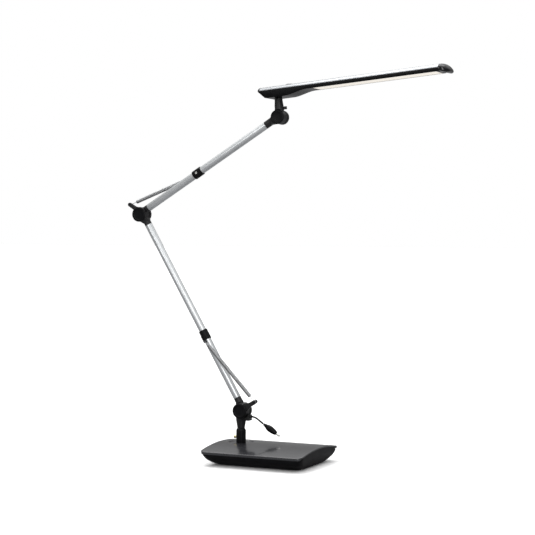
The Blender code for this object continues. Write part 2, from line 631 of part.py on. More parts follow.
def pigtail(mast):
    """The short cord that leaves the mast, its gland, and the connector on its end."""
    route = [tuple(MM * value for value in point) for point in CORD_ROUTE]
    wire("pigtail_cord", route, CORD_RADIUS, UPRIGHT, mast, CABLE)
    gland = shift(OUTLET_FACE + GAP, *CORD_EXIT) @ turn(90, "Y")
    bore = CORD_RADIUS + 0.5 * MM
    loop = [(bore, 2.2 * MM), (2.6 * MM, 2.2 * MM), (3.0 * MM, 0.8 * MM), (3.0 * MM, 0), (bore, 0)]
    spin("cable_gland", loop, True, gland, mast, RUBBER, 20)
    heading = (Vector(route[-1]) - Vector(route[-2])).normalized()
    nose = Vector((69.9 * MM, 8.9 * MM, 44.0 * MM))
    place = towards(Vector(route[-1]) + 1.0 * MM * heading, nose)
    end = 28 * MM
    body = [(0, end), (2.6 * MM, end), (3.6 * MM, end - 1.4 * MM), (4.9 * MM, 21 * MM), (5.4 * MM, 16 * MM),
            (5.3 * MM, 11.5 * MM), (4.2 * MM, 7 * MM), (2.5 * MM, 3 * MM), (2.0 * MM, 0), (0, 0)]
    turned("connector_body", body, place, mast, CONNECTOR, steps=16)
    tip = [(0, end + 7 * MM), (1.4 * MM, end + 7 * MM), (1.8 * MM, end + 6.5 * MM), (1.8 * MM, end + GAP),
           (0, end + GAP)]
    turned("connector_tip", tip, place, mast, STEEL, steps=12)


# ---- head -------------------------------------------------------------------------------------------
def underside(at, offset):
    """Height of the head's underside: deep at the neck, slim along the light."""
    start, end = 20 * MM, 61 * MM
    t = min(1, max(0, (at - start) / (end - start)))
    return HEAD_DEEP + (HEAD_SLIM - HEAD_DEEP) * t * t * (3 - 2 * t) + offset


def crown(half, rise, base, foot):
    """A section across the head: a half-ellipse of height rise above base, closed at foot."""
    steps = [math.radians(12 * i) for i in range(16)]
    return ([(half, foot)] + [(half * math.cos(t), base + rise * math.sin(t)) for t in steps]
            + [(-half, foot)])


def head_frame(head):
    """The black frame: a trough with an arched rear wall, and posts for the boards."""
    bend = [20 * MM + 5.125 * MM * i for i in range(9)]
    outline = [(HEAD_REAR, HEAD_RIM), (HEAD_REAR, HEAD_RIM - 1 * MM), (-16.3 * MM, 1.1 * MM),
               (-12 * MM, HEAD_DEEP)]
    outline += [(at, underside(at, 0)) for at in bend] + [(HEAD_SPLIT, HEAD_SLIM), (HEAD_SPLIT, HEAD_RIM)]
    body = plate("head_frame", outline, -HEAD_HALF, HEAD_HALF, FRONT, head, HEAD_BLACK)
    rear = crown(HEAD_HALF, HEAD_CROWN, HEAD_RIM, HEAD_RIM - 1 * MM)
    join(body, plate("rear_wall", rear, HEAD_REAR, -25 * MM - GAP, ACROSS, head))
    inner = [(-23.5 * MM, LONG), (-23.5 * MM, 12 * MM), (-14.5 * MM, 2.6 * MM),
             (-12 * MM, HEAD_DEEP + HEAD_FLOOR)]
    inner += [(at, underside(at, HEAD_FLOOR)) for at in bend]
    inner += [(HEAD_SPLIT - HEAD_FLOOR, HEAD_SLIM + HEAD_FLOOR), (HEAD_SPLIT - HEAD_FLOOR, LONG)]
    inside = HEAD_HALF - HEAD_FLOOR
    cut(body, plate("head_hollow", inner, -inside, inside, FRONT, head))
    post_top = BOARD[0] - GAP
    join(body, rods("driver_posts", 2.6 * MM, 1.5 * MM, post_top, DRIVER_POSTS, head, sides=14))
    join(body, rods("light_posts", 2.6 * MM, 8.4 * MM, post_top, LIGHT_POSTS, head, sides=14))
    start, end = LIGHT
    opening = (end - start, 35 * MM, 6 * MM)
    cut(body, box("light_opening", opening, shift((start + end) / 2, 0, HEAD_SLIM), head))
    cut(body, rod("neck_hole", 4.4 * MM, -1 * MM, 4 * MM, UPRIGHT, head))


def head_cover(head):
    """The arched metal cover with a hole for the button."""
    wall = 1.2 * MM
    base = HEAD_RIM + GAP
    rise = HEAD_CROWN - GAP
    outer = crown(HEAD_HALF, rise, base, base)[1:-1]
    inner = crown(HEAD_HALF - wall, rise - wall, base, base)[1:-1]
    cover = plate("head_cover", outer + inner[::-1], -25 * MM, HEAD_SPLIT, ACROSS, head, HEAD_SILVER)
    cut(cover, rod("button_hole", BUTTON_RADIUS + GAP, HEAD_RIM, 30 * MM, shift(BUTTON_AT), head))


def light(head):
    """Diffuser, and the LED board with its LEDs."""
    start, end = LIGHT
    middle = (start + end) / 2
    box("diffuser", (end - start - 2 * GAP, 35 * MM - 2 * GAP, 1.2 * MM),
        shift(middle, 0, HEAD_SLIM + 0.7 * MM), head, DIFFUSER)
    low, high = BOARD
    board_start, board_end = 63 * MM, HEAD_SPLIT - HEAD_FLOOR - GAP
    board = box("led_board", (board_end - board_start, 37 * MM, high - low),
                shift((board_start + board_end) / 2, 0, (low + high) / 2), head, BOARD_WHITE)
    pitch = (end - start) / LED_COUNT
    bm = bmesh.new()
    for i in range(LED_COUNT):
        made = bmesh.ops.create_cube(bm, size=1)
        bmesh.ops.scale(bm, vec=(3 * MM, 3 * MM, 1 * MM), verts=made["verts"])
        bmesh.ops.translate(bm, vec=(start + (i + 0.5) * pitch, 0, low - 0.2 * MM), verts=made["verts"])
    join(board, from_bmesh("led_chips", bm, UPRIGHT, head, None))


def driver(head):
    """Driver board with the switch on it, and the push button."""
    low, high = BOARD
    start, end = 11 * MM, 60 * MM
    board = box("driver_board", (end - start, 30 * MM, high - low),
                shift((start + end) / 2, 0, (low + high) / 2), head, BOARD_GREEN)
    join(board, box("push_switch", (7 * MM, 7 * MM, 3.4 * MM), shift(BUTTON_AT, 0, high + 1.6 * MM), head))
    top = HEAD_RIM + HEAD_CROWN + 0.6 * MM
    button = [(0, top), (BUTTON_RADIUS - 0.8 * MM, top), (BUTTON_RADIUS, top - 0.6 * MM),
              (BUTTON_RADIUS, 18.6 * MM), (7.2 * MM, 18.6 * MM), (7.2 * MM, 17.7 * MM), (2 * MM, 17.7 * MM),
              (2 * MM, 16 * MM), (0, 16 * MM)]
    turned("switch_button", button, shift(BUTTON_AT), head, SATIN_BLACK, steps=20)


def end_cap(head):
    """The glossy cap that closes the head: arched across, drooping and round in plan."""
    start = HEAD_SPLIT + GAP
    section = crown(HEAD_HALF, HEAD_CROWN, HEAD_RIM, 2 * MM)
    cap = plate("end_cap", section, start, HEAD_TIP, ACROSS, head, PIANO_BLACK)
    nose = HEAD_TIP
    side = [(start, HEAD_SLIM), (start + 5 * MM, 6.2 * MM), (nose - 7 * MM, 4.8 * MM),
            (nose - 3.5 * MM, 4.6 * MM), (nose - 1.2 * MM, 5.6 * MM), (nose, 7.8 * MM),
            (nose - 0.9 * MM, 11 * MM), (nose - 3.5 * MM, 14.8 * MM), (nose - 8 * MM, 18.4 * MM),
            (start + 4 * MM, 20.6 * MM), (start, 22 * MM)]
    trim(cap, plate("cap_side", side, -LONG, LONG, FRONT, head))
    curve = 15 * MM
    plan = [(start - 1 * MM, -HEAD_HALF)] + arc(nose - curve, curve - HEAD_HALF, curve, -90, 0, 6)
    plan += arc(nose - curve, HEAD_HALF - curve, curve, 0, 90, 6) + [(start - 1 * MM, HEAD_HALF)]
    trim(cap, plate("cap_plan", plan, 0, LONG, UPRIGHT, head))
    cut(cap, box("cap_hollow", (14 * MM, 30 * MM, 6 * MM), shift(start + 2 * MM, 0, 12 * MM), head))


def neck_and_nut(neck, head):
    """The neck that carries the head on a spigot, and the nut inside the head."""
    top = NECK_LENGTH + HEAD_DEEP - GAP
    post = [(0, top + 8 * MM), (3.7 * MM, top + 8 * MM), (4.1 * MM, top + 7.6 * MM), (4.1 * MM, top),
            (6.6 * MM, top), (6.9 * MM, top - 6 * MM), (7.6 * MM, 20 * MM), (7.6 * MM, HEAD_CHEEK + 0.8 * MM),
            (0, HEAD_CHEEK + 0.8 * MM)]
    body = knuckle("neck", neck, HEAD_CHEEK - 0.6 * MM, post, 0, 6.5 * MM)
    join(body, box("stop_tab", (6.4 * MM, 3.4 * MM, 5 * MM), shift(9 * MM, 3.5 * MM, 15.2 * MM), neck))
    floor = HEAD_DEEP + HEAD_FLOOR + GAP
    nut = rod("neck_nut", 7 * MM, floor, floor + 4 * MM, UPRIGHT, head, STEEL, sides=6)
    cut(nut, rod("neck_nut_bore", 4.4 * MM, 0, LONG, UPRIGHT, head))


# ---- assembly ---------------------------------------------------------------------------------------
def build():
    """Build every piece on the chain of frames, from the base to the head."""
    root = frame("base", None, UPRIGHT)
    mast = frame("mast", root, shift(MAST_X, MAST_Y))
    base_cover(root, mast)
    base_tray(root)
    base_inside(root)
    sleeve(mast)
    swivel(mast)
    pigtail(mast)

    lower_hinge = frame("lower_hinge", mast, shift(HINGE_AHEAD, 0, LOWER_PIVOT))
    mast_head(lower_hinge)
    hinge_hardware("lower_hinge", lower_hinge, ARM_CHEEK)

    lower_arm = frame("lower_arm", lower_hinge, turn(LOWER_LEAN, "Y"))
    offset = TUBE_OFFSET
    shoulder = ARM_CHEEK + 0.8 * MM
    knuckle("lower_arm_foot", lower_arm, ARM_CHEEK - 0.6 * MM, upper_plug(shoulder, LOWER_TUBE[0]), offset,
            5.6 * MM)
    arm_tube("lower_tube", lower_arm, LOWER_TUBE, offset)
    collar("lower_collar", lower_arm, offset, 146.5 * MM, (-8.6 * MM, -1 * MM), (-14.3 * MM, -1 * MM), -1)
    spring("lower_spring", lower_hinge, lower_arm, LOWER_LEAN, offset, -1)

    elbow = frame("elbow", lower_arm, shift(z=LOWER_LENGTH) @ turn(-LOWER_LEAN, "Y"))
    tube_end = LOWER_LENGTH - LOWER_TUBE[1]
    fork("elbow_fork", elbow, ARM_CHEEK, (TUBE_RADIUS, 18 * MM, offset), lower_plug(13 * MM, tube_end), 1,
         LOWER_LEAN)
    hinge_hardware("elbow", elbow, ARM_CHEEK)

    upper_arm = frame("upper_arm", elbow, turn(UPPER_LEAN, "Y"))
    knuckle("upper_arm_foot", upper_arm, ARM_CHEEK - 0.6 * MM, upper_plug(shoulder, UPPER_TUBE[0]), -offset,
            5.6 * MM)
    arm_tube("upper_tube", upper_arm, UPPER_TUBE, -offset)
    collar("upper_collar", upper_arm, -offset, 133.8 * MM, (5.8 * MM, 8.8 * MM), (-1.6 * MM, 8.8 * MM), 1)
    spring("upper_spring", elbow, upper_arm, UPPER_LEAN, -offset, 1)

    head_hinge = frame("head_hinge", upper_arm, shift(z=UPPER_LENGTH) @ turn(-UPPER_LEAN, "Y"))
    tube_end = UPPER_LENGTH - UPPER_TUBE[1]
    fork("head_fork", head_hinge, HEAD_CHEEK, (TUBE_RADIUS, 18 * MM, -offset), lower_plug(13 * MM, tube_end), 0,
         UPPER_LEAN)
    hinge_hardware("head_hinge", head_hinge, HEAD_CHEEK)

    neck = frame("neck_frame", head_hinge, turn(NECK_LEAN, "Y"))
    head = frame("head", neck, shift(z=NECK_LENGTH))
    neck_and_nut(neck, head)
    head_frame(head)
    head_cover(head)
    light(head)
    driver(head)
    end_cap(head)


clear_scene()
PARTS = collection("swing_arm_desk_lamp")
CUTTERS = collection("cutters")
GLOSS_BLACK = material("gloss_black", (0.022, 0.023, 0.026), 0.22)
SATIN_BLACK = material("satin_black", (0.02, 0.02, 0.022), 0.42)
CAST_BLACK = material("cast_black", (0.018, 0.018, 0.02), 0.48)
HEAD_BLACK = material("head_black", (0.012, 0.012, 0.013), 0.25)
PIANO_BLACK = material("piano_black", (0.008, 0.008, 0.009), 0.08)
ALUMINIUM = material("aluminium", (0.78, 0.79, 0.8), 0.24, 1)
HEAD_SILVER = material("head_silver", (0.8, 0.81, 0.83), 0.3, 1)
STEEL = material("zinc_steel", (0.62, 0.62, 0.6), 0.35, 1)
BLACK_STEEL = material("black_steel", (0.03, 0.03, 0.032), 0.4, 1)
RAW_STEEL = material("raw_steel", (0.32, 0.31, 0.3), 0.55, 1)
SPRING_STEEL = material("spring_steel", (0.5, 0.5, 0.48), 0.34, 1)
BRASS = material("brass", (0.62, 0.55, 0.32), 0.35, 1)
RUBBER = material("rubber", (0.02, 0.02, 0.02), 0.8)
NYLON = material("nylon", (0.75, 0.74, 0.7), 0.5)
CABLE = material("cable_black", (0.015, 0.015, 0.016), 0.5)
CONNECTOR = material("connector_black", (0.02, 0.02, 0.021), 0.4)
DIFFUSER = material("diffuser_white", (0.93, 0.9, 0.84), 0.5)
BOARD_WHITE = material("board_white", (0.85, 0.85, 0.83), 0.5)
BOARD_GREEN = material("board_green", (0.03, 0.16, 0.07), 0.4)
SCREWS = [(x * SCREW_X, y * SCREW_Y) for x in (-1, 1) for y in (-1, 1)]
DRIVER_POSTS = [(14 * MM, -11 * MM), (14 * MM, 11 * MM)]
LIGHT_POSTS = [(67 * MM, -12 * MM), (67 * MM, 12 * MM)]
build()
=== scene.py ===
"""Looks of the swing arm desk lamp: every visible piece at its final resolution, on its CAD body.

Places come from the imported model's joints.  Lengths are in metres; MM turns
millimetres into metres.  Each arm, the mast and the head has its own placement, and a piece's
mesh is drawn in it, so that textures run along the piece.
"""
import json
import math

import bmesh
import bpy
from mathutils import Matrix, Vector


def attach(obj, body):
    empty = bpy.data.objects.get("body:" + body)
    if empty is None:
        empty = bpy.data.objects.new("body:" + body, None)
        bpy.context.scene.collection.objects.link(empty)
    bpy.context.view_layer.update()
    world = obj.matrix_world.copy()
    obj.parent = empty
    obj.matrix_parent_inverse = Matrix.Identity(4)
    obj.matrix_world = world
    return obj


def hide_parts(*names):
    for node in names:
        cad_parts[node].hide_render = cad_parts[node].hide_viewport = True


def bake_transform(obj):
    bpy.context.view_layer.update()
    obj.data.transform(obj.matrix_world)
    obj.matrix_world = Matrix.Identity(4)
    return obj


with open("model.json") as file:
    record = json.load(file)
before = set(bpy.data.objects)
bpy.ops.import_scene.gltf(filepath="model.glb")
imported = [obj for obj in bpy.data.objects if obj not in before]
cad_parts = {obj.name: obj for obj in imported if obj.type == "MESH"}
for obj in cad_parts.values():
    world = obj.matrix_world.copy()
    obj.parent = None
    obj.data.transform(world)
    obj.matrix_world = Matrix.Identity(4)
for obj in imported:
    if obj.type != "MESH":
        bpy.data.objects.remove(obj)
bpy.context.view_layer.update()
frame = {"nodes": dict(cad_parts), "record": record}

MM = 0.001


def mm(*values):
    """Several lengths in millimetres, as metres."""
    return tuple(value * MM for value in values)


# ---- dimensions shared with the CAD model ----
BASE_LENGTH, BASE_DEPTH = mm(188, 161)
BASE_EDGE, BASE_CREST, BASE_CORNER = mm(24.5, 8, 11)
COVER_WALL, COVER_LIP = mm(2.2, 4.5)
TRAY_WALL, TRAY_FOOT, FOOT_HALF = mm(3, 1.5, 54)
DISH_RADIUS, DISH_FLOOR, PLUG_BOTTOM = mm(20, 30.2, 26.4)
GAP = 0.3 * MM
SLEEVE_RADIUS, SLEEVE_TOP, SHANK_RADIUS, PIN_RADIUS = mm(8.4, 55.6, 6, 4)
FLUTES = 12
TUBE_RADIUS, TUBE_BORE, PLUG_RADIUS, PLUG_DEPTH = mm(6.35, 5.45, 5.1, 22)
TUBE_OFFSET = 2.6 * MM
LOWER_TUBE = mm(23.3, 368)
UPPER_TUBE = mm(18.6, 286.3)
EAR_REACH, EAR_LEAN = 34 * MM, 59.0
SPRING_SIDE, SPRING_ANCHOR = mm(11.8, 135)
COIL_RADIUS, SPRING_WIRE, HOOK_RADIUS = mm(3.3, 0.45, 2.3)
HEAD_HALF, HEAD_REAR, HEAD_SPLIT, HEAD_TIP = mm(21, -28, 292, 308.5)
HEAD_RIM, HEAD_DEEP, HEAD_SLIM, HEAD_CROWN = mm(13.3, 0.6, 7.4, 7.5)
HEAD_FLOOR = 1.7 * MM
COVER_START = -25 * MM
LIGHT = mm(71, 287.5)
BUTTON_AT, BUTTON_RADIUS = mm(22, 6)
ARM_CHEEK, HEAD_CHEEK = mm(13, 12)
KNUCKLE_HALF, CHEEK_INNER, CHEEK_OUTER = mm(4.9, 6.0, 10.2)
KNUCKLE_INSET, SHOULDER = mm(0.6, 0.8)      # the disc inside the cheeks' edge, the shank beyond it
POCKET_DEPTH, CAP_OUTER, BOLT_RADIUS = mm(2.9, 12.8, 2.4)
THROAT, NECK_TOP = mm(18, 13)       # below an end hinge: a fork's throat ends, and its round neck starts
LONG = 60 * MM
# The cord's route is in millimetres from the mast's axis and the desk, as in the CAD model.
CORD_ROUTE = [(12.6, 3.0, 75.9), (14.6, 3.0, 75.9), (16.6, 3.0, 75.9), (18.7, 3.0, 75.9), (20.7, 3.2, 75.8),
              (22.7, 3.4, 75.4), (24.6, 3.8, 74.8), (26.4, 4.3, 73.9), (28.0, 4.7, 72.9), (29.6, 5.1, 71.6),
              (31.1, 5.6, 70.4), (32.6, 6.0, 69.1), (34.1, 6.4, 67.8), (35.7, 6.8, 66.6), (37.2, 7.3, 65.3),
              (38.7, 7.7, 64.1)]
CORD_EXIT = mm(3.0, 75.9)       # its way out of the mast's block: sideways, and above the desk
OUTLET_FACE = 16.5 * MM
CORD_RADIUS = 1.5 * MM
CONNECTOR_NOSE = Vector(mm(69.9, 8.9, 44.0))        # the connector points at it


# ---- placements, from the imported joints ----
def shift(x=0.0, y=0.0, z=0.0):
    """A placement without rotation."""
    return Matrix.Translation((x, y, z))


def turn(degrees, axis):
    """A rotation about one axis."""
    return Matrix.Rotation(math.radians(degrees), 4, axis)


def towards(start, end):
    """A placement at start whose Z axis points at end."""
    direction = Vector(end) - Vector(start)
    return shift(*start) @ direction.to_track_quat("Z", "Y").to_matrix().to_4x4()


def lean_of(direction):
    """Degrees from upright towards +X."""
    return math.degrees(math.atan2(direction[0], direction[2]))


JOINTS = {joint["name"]: joint for joint in frame["record"]["behaviour"]["joints"]}
MAST_AT = Vector(JOINTS["base_swivel"]["pos_m"])
LOWER_AT = Vector(JOINTS["lower_tilt"]["pos_m"])
ELBOW_AT = Vector(JOINTS["elbow_tilt"]["pos_m"])
HEAD_HINGE_AT = Vector(JOINTS["head_tilt"]["pos_m"])
HEAD_AT = Vector(JOINTS["head_swivel"]["pos_m"])
LOWER_LEAN = lean_of(ELBOW_AT - LOWER_AT)
UPPER_LEAN = lean_of(HEAD_HINGE_AT - ELBOW_AT)
NECK_LEAN = lean_of(HEAD_AT - HEAD_HINGE_AT)
LOWER_LENGTH = (ELBOW_AT - LOWER_AT).length
UPPER_LENGTH = (HEAD_HINGE_AT - ELBOW_AT).length
NECK_LENGTH = (HEAD_AT - HEAD_HINGE_AT).length

UPRIGHT = Matrix()
FRONT = turn(90, "X")                       # outlines of (x, z); thickness runs towards -Y
ACROSS = turn(90, "Z") @ turn(90, "X")      # outlines of (y, z); thickness runs towards +X
MAST = shift(MAST_AT.x, MAST_AT.y)
LOWER_HINGE = shift(*LOWER_AT)
LOWER_ARM = LOWER_HINGE @ turn(LOWER_LEAN, "Y")
ELBOW = shift(*ELBOW_AT)
UPPER_ARM = ELBOW @ turn(UPPER_LEAN, "Y")
HEAD_HINGE = shift(*HEAD_HINGE_AT)
NECK = HEAD_HINGE @ turn(NECK_LEAN, "Y")
HEAD = shift(*HEAD_AT) @ turn(NECK_LEAN, "Y")


# ---- material building ----
class Look:
    """A procedural Principled material, built up socket by socket."""

    def __init__(self, name, roughness, metallic=0.0, **sockets):
        self.material = bpy.data.materials.new(name)
        self.material.use_nodes = True
        self.nodes = self.material.node_tree.nodes
        self.links = self.material.node_tree.links
        self.shader = self.nodes["Principled BSDF"]
        self.shader.inputs["Metallic"].default_value = metallic
        self.shader.inputs["Roughness"].default_value = roughness
        for socket, value in sockets.items():
            self.shader.inputs[socket.replace("_", " ")].default_value = value
        self.place = self.nodes.new("ShaderNodeTexCoord").outputs["Object"]
        self.bump_chain = None

    def noise(self, scale, detail, stretch=(1, 1, 1)):
        """A noise factor; stretch scales its coordinates, so that small values draw it out."""
        mapping = self.nodes.new("ShaderNodeMapping")
        mapping.inputs["Scale"].default_value = stretch
        self.links.new(self.place, mapping.inputs["Vector"])
        texture = self.nodes.new("ShaderNodeTexNoise")
        texture.inputs["Scale"].default_value = scale
        texture.inputs["Detail"].default_value = detail
        texture.inputs["Roughness"].default_value = 0.55
        self.links.new(mapping.outputs["Vector"], texture.inputs["Vector"])
        return texture.outputs["Fac"]

    def colours(self, factor, stops):
        """Colour the surface by a factor; stops are (position, (r, g, b)) pairs."""
        ramp = self.nodes.new("ShaderNodeValToRGB")
        elements = ramp.color_ramp.elements
        for element, (position, colour) in zip(elements, stops):
            element.position = position
            element.color = (*colour, 1)
        self.links.new(factor, ramp.inputs["Fac"])
        self.links.new(ramp.outputs["Color"], self.shader.inputs["Base Color"])

    def roughness(self, factor, low, high):
        """Change the roughness from low to high by a factor."""
        ranger = self.nodes.new("ShaderNodeMapRange")
        for socket, value in (("From Min", 0.3), ("From Max", 0.7), ("To Min", low), ("To Max", high)):
            ranger.inputs[socket].default_value = value
        self.links.new(factor, ranger.inputs["Value"])
        self.links.new(ranger.outputs["Result"], self.shader.inputs["Roughness"])

    def bump(self, factor, strength, distance):
        """Add a layer of bump; distance is the height in metres."""
        bump = self.nodes.new("ShaderNodeBump")
        bump.inputs["Strength"].default_value = strength
        bump.inputs["Distance"].default_value = distance
        self.links.new(factor, bump.inputs["Height"])
        if self.bump_chain:
            self.links.new(self.bump_chain, bump.inputs["Normal"])
        self.bump_chain = bump.outputs["Normal"]
        self.links.new(self.bump_chain, self.shader.inputs["Normal"])


def plain_look(name, low, high, roughness, grain, height, coat=0.0, specular=0.5):
    """Paint, plastic or rubber: a grain of its own size, and faint cloudy changes of gloss."""
    look = Look(name, roughness[0], Coat_Weight=coat, Coat_Roughness=0.08, Specular_IOR_Level=specular)
    look.colours(look.noise(CLOUDS, 4), [(0.35, low), (0.68, high)])
    look.roughness(look.noise(CLOUDS / 2, 5), *roughness)
    look.bump(look.noise(grain, 2), 0.5, height)
    return look.material


def metal_look(name, low, high, roughness, stretch, scale, height):
    """Metal with fine lines: stretch draws the noise out along the grain."""
    look = Look(name, roughness[0], metallic=1.0)
    lines = look.noise(scale, 3, stretch)
    look.colours(look.noise(60, 4), [(0.35, low), (0.7, high)])
    look.roughness(lines, *roughness)
    look.bump(lines, 0.35, height)
    return look.material


def diffuser_look():
    """A milky plate, lit warm white from behind."""
    look = Look("diffuser_lit", 0.45)
    look.colours(look.noise(400, 2), [(0.4, (0.9, 0.87, 0.8)), (0.6, (0.95, 0.92, 0.86))])
    look.shader.inputs["Emission Color"].default_value = (1.0, 0.93, 0.82, 1)
    look.shader.inputs["Emission Strength"].default_value = 0.5
    look.bump(look.noise(2500, 2), 0.4, 0.00002)
    return look.material


CLOUDS = 90                             # scale of the noise that clouds a colour, in patches of about 11 mm
EVEN, ALONG_X, ALONG_Z = (1, 1, 1), (0.012, 1, 1), (1, 1, 0.012)      # ways that a metal's grain runs
SLOT_LOOKS = {
    "gloss_black": plain_look("gloss_black_paint", (0.014, 0.0145, 0.017), (0.022, 0.0225, 0.026),
        (0.2, 0.27), 700, 0.000012, coat=0.35),
    "satin_black": plain_look("satin_black_plastic", (0.003, 0.003, 0.0035), (0.006, 0.006, 0.007),
        (0.32, 0.42), 2600, 0.00003, specular=0.1),
    "cast_black": plain_look("black_powder_coat", (0.005, 0.005, 0.0055), (0.01, 0.01, 0.011),
        (0.38, 0.5), 1900, 0.00005, specular=0.35),
    "head_black": plain_look("head_black_plastic", (0.002, 0.002, 0.0025), (0.004, 0.004, 0.0045),
        (0.2, 0.27), 1500, 0.000012, specular=0.08),
    "piano_black": plain_look("piano_black", (0.003, 0.003, 0.0035), (0.005, 0.005, 0.006),
        (0.14, 0.18), 300, 0.000004, coat=0.1, specular=0.3),
    "cable_black": plain_look("cable_jacket", (0.002, 0.002, 0.0025), (0.004, 0.004, 0.0045),
        (0.42, 0.55), 1800, 0.00003, specular=0.08),
    "rubber": plain_look("soft_rubber", (0.012, 0.012, 0.012), (0.02, 0.02, 0.02),
        (0.7, 0.85), 2200, 0.00006),
    "aluminium": metal_look("drawn_aluminium", (0.6, 0.62, 0.63), (0.67, 0.685, 0.695),
        (0.36, 0.44), ALONG_Z, 2600, 0.000006),
    "head_silver": metal_look("brushed_head_aluminium", (0.42, 0.435, 0.45), (0.48, 0.49, 0.505),
        (0.34, 0.44), ALONG_X, 2600, 0.000006),
    "zinc_steel": metal_look("zinc_plated_steel", (0.5, 0.5, 0.48), (0.66, 0.66, 0.63),
        (0.25, 0.42), EVEN, 900, 0.00002),
    "raw_steel": metal_look("raw_steel_plate", (0.24, 0.23, 0.22), (0.36, 0.35, 0.33),
        (0.45, 0.65), (0.05, 1, 1), 900, 0.00004),
    "spring_steel": metal_look("spring_wire", (0.36, 0.365, 0.37), (0.46, 0.465, 0.47),
        (0.3, 0.42), EVEN, 1500, 0.00001),
    "black_steel": metal_look("blackened_steel", (0.02, 0.02, 0.022), (0.035, 0.035, 0.038),
        (0.35, 0.5), EVEN, 1200, 0.00002),
    "brass": metal_look("dull_brass", (0.42, 0.37, 0.2), (0.58, 0.52, 0.3), (0.3, 0.45), EVEN, 1200, 0.00002),
    "nylon": plain_look("natural_nylon", (0.66, 0.65, 0.6), (0.74, 0.73, 0.69), (0.45, 0.55), 1500, 0.00002),
    "board_white": plain_look("white_solder_mask", (0.74, 0.74, 0.72), (0.82, 0.82, 0.8),
        (0.35, 0.5), 1800, 0.00002),
    "board_green": plain_look("green_solder_mask", (0.012, 0.09, 0.04), (0.02, 0.14, 0.06),
        (0.3, 0.45), 1800, 0.00002),
    "diffuser_white": diffuser_look(),
}
SLOT_LOOKS["connector_black"] = SLOT_LOOKS["satin_black"]
SLOT_OF = {part["node"]: part["material_slot"] for part in frame["record"]["subparts"]}
BODY_OF = {node: body for body, nodes in frame["record"]["behaviour"]["bodies"].items() for node in nodes}


# ---- outlines ----
def arc(x, y, radius, start, end, count):
    """Points on an arc, angles in degrees from +X."""
    steps = [math.radians(start + (end - start) * i / count) for i in range(count + 1)]
    return [(x + radius * math.cos(a), y + radius * math.sin(a)) for a in steps]


def circle(x, y, radius, count=96):
    """The outline of a circle."""
    return arc(x, y, radius, 0, 360, count)[:-1]


def half_ellipse(half, base, rise, steps):
    """The upper half of an ellipse, which stands on a base."""
    return [(half * math.cos(t), base + rise * math.sin(t))
            for t in (math.radians(180 / steps * i) for i in range(steps + 1))]


def rounded_rectangle(length, width, radius, count=10):
    """The outline of a rectangle with round corners, with extra points along its sides."""
    x, y = length / 2 - radius, width / 2 - radius
    corners = [arc(x, y, radius, 0, 90, count), arc(-x, y, radius, 90, 180, count),
               arc(-x, -y, radius, 180, 270, count), arc(x, -y, radius, 270, 360, count)]
    points, steps = [], 24
    for corner, following in zip(corners, corners[1:] + corners[:1]):
        points += corner
        (ax, ay), (bx, by) = corner[-1], following[0]
        points += [(ax + (bx - ax) * i / steps, ay + (by - ay) * i / steps) for i in range(1, steps)]
    return points


def soften(profile, radius, closed=False, count=3):
    """Round the corners of a profile."""
    points = [Vector(point) for point in profile]
    total = len(points)
    result = []
    for i, point in enumerate(points):
        if not closed and i in (0, total - 1):
            result.append(tuple(point))
            continue
        before, after = points[i - 1] - point, points[(i + 1) % total] - point
        reach = min(radius, 0.45 * before.length, 0.45 * after.length)
        start, end = point + before.normalized() * reach, point + after.normalized() * reach
        for step in range(count + 1):
            t = step / count
            result.append(tuple(start * (1 - t) ** 2 + point * 2 * t * (1 - t) + end * t ** 2))
    return result


def smoothstep(value, low, high):
    """0 below low, 1 above high, and smooth between them."""
    t = min(1, max(0, (value - low) / (high - low)))
    return t * t * (3 - 2 * t)


# ---- meshes ----
def added(name, data):
    """A new object in the scene."""
    item = bpy.data.objects.new(name, data)
    bpy.context.scene.collection.objects.link(item)
    return item


def piece_from(name, bm, place, sharp=35):
    """Turn a bmesh into an object with smooth shading."""
    bmesh.ops.recalc_face_normals(bm, faces=bm.faces)
    data = bpy.data.meshes.new(name)
    bm.to_mesh(data)
    bm.free()
    data.shade_smooth()
    data.set_sharp_from_angle(angle=math.radians(sharp))
    piece = added(name, data)
    piece.matrix_world = place
    return piece


def loft(name, loops, place, closed=False, sharp=35):
    """Skin a list of loops with equal numbers of points; open ends are capped."""
    bm = bmesh.new()
    rows = [[bm.verts.new(point) for point in loop] for loop in loops]
    pairs = list(zip(rows, rows[1:]))
    if closed:
        pairs.append((rows[-1], rows[0]))
    for low, high in pairs:
        for i in range(len(low)):
            j = (i + 1) % len(low)
            bm.faces.new((low[i], low[j], high[j], high[i]))
    if not closed:
        bm.faces.new(rows[0][::-1])
        bm.faces.new(rows[-1])
    return piece_from(name, bm, place, sharp)


def turned(name, profile, place, closed=False, steps=96, rounding=0.25 * MM):
    """A turned piece: its profile is (radius, height) points, on the axis at both ends or closed."""
    profile = soften(profile, rounding, closed)
    bm = bmesh.new()
    rows = []
    for radius, height in profile:
        if radius < 1e-7:
            rows.append([bm.verts.new((0, 0, height))])
        else:
            rows.append([bm.verts.new((x, y, height)) for x, y in circle(0, 0, radius, steps)])
    pairs = list(zip(rows, rows[1:]))
    if closed:
        pairs.append((rows[-1], rows[0]))
    for low, high in pairs:
        for i in range(steps):
            j = (i + 1) % steps
            corners = [low[i % len(low)], low[j % len(low)], high[j % len(high)], high[i % len(high)]]
            bm.faces.new(list(dict.fromkeys(corners)))
    return piece_from(name, bm, place)


def plate(name, outline, low, high, place, rounding=0.0):
    """A prism over an outline, thick from low to high, with rounded edges."""
    piece = loft(name, [[(x, y, z) for x, y in outline] for z in (low, high)], place)
    return rounded(piece, rounding) if rounding else piece


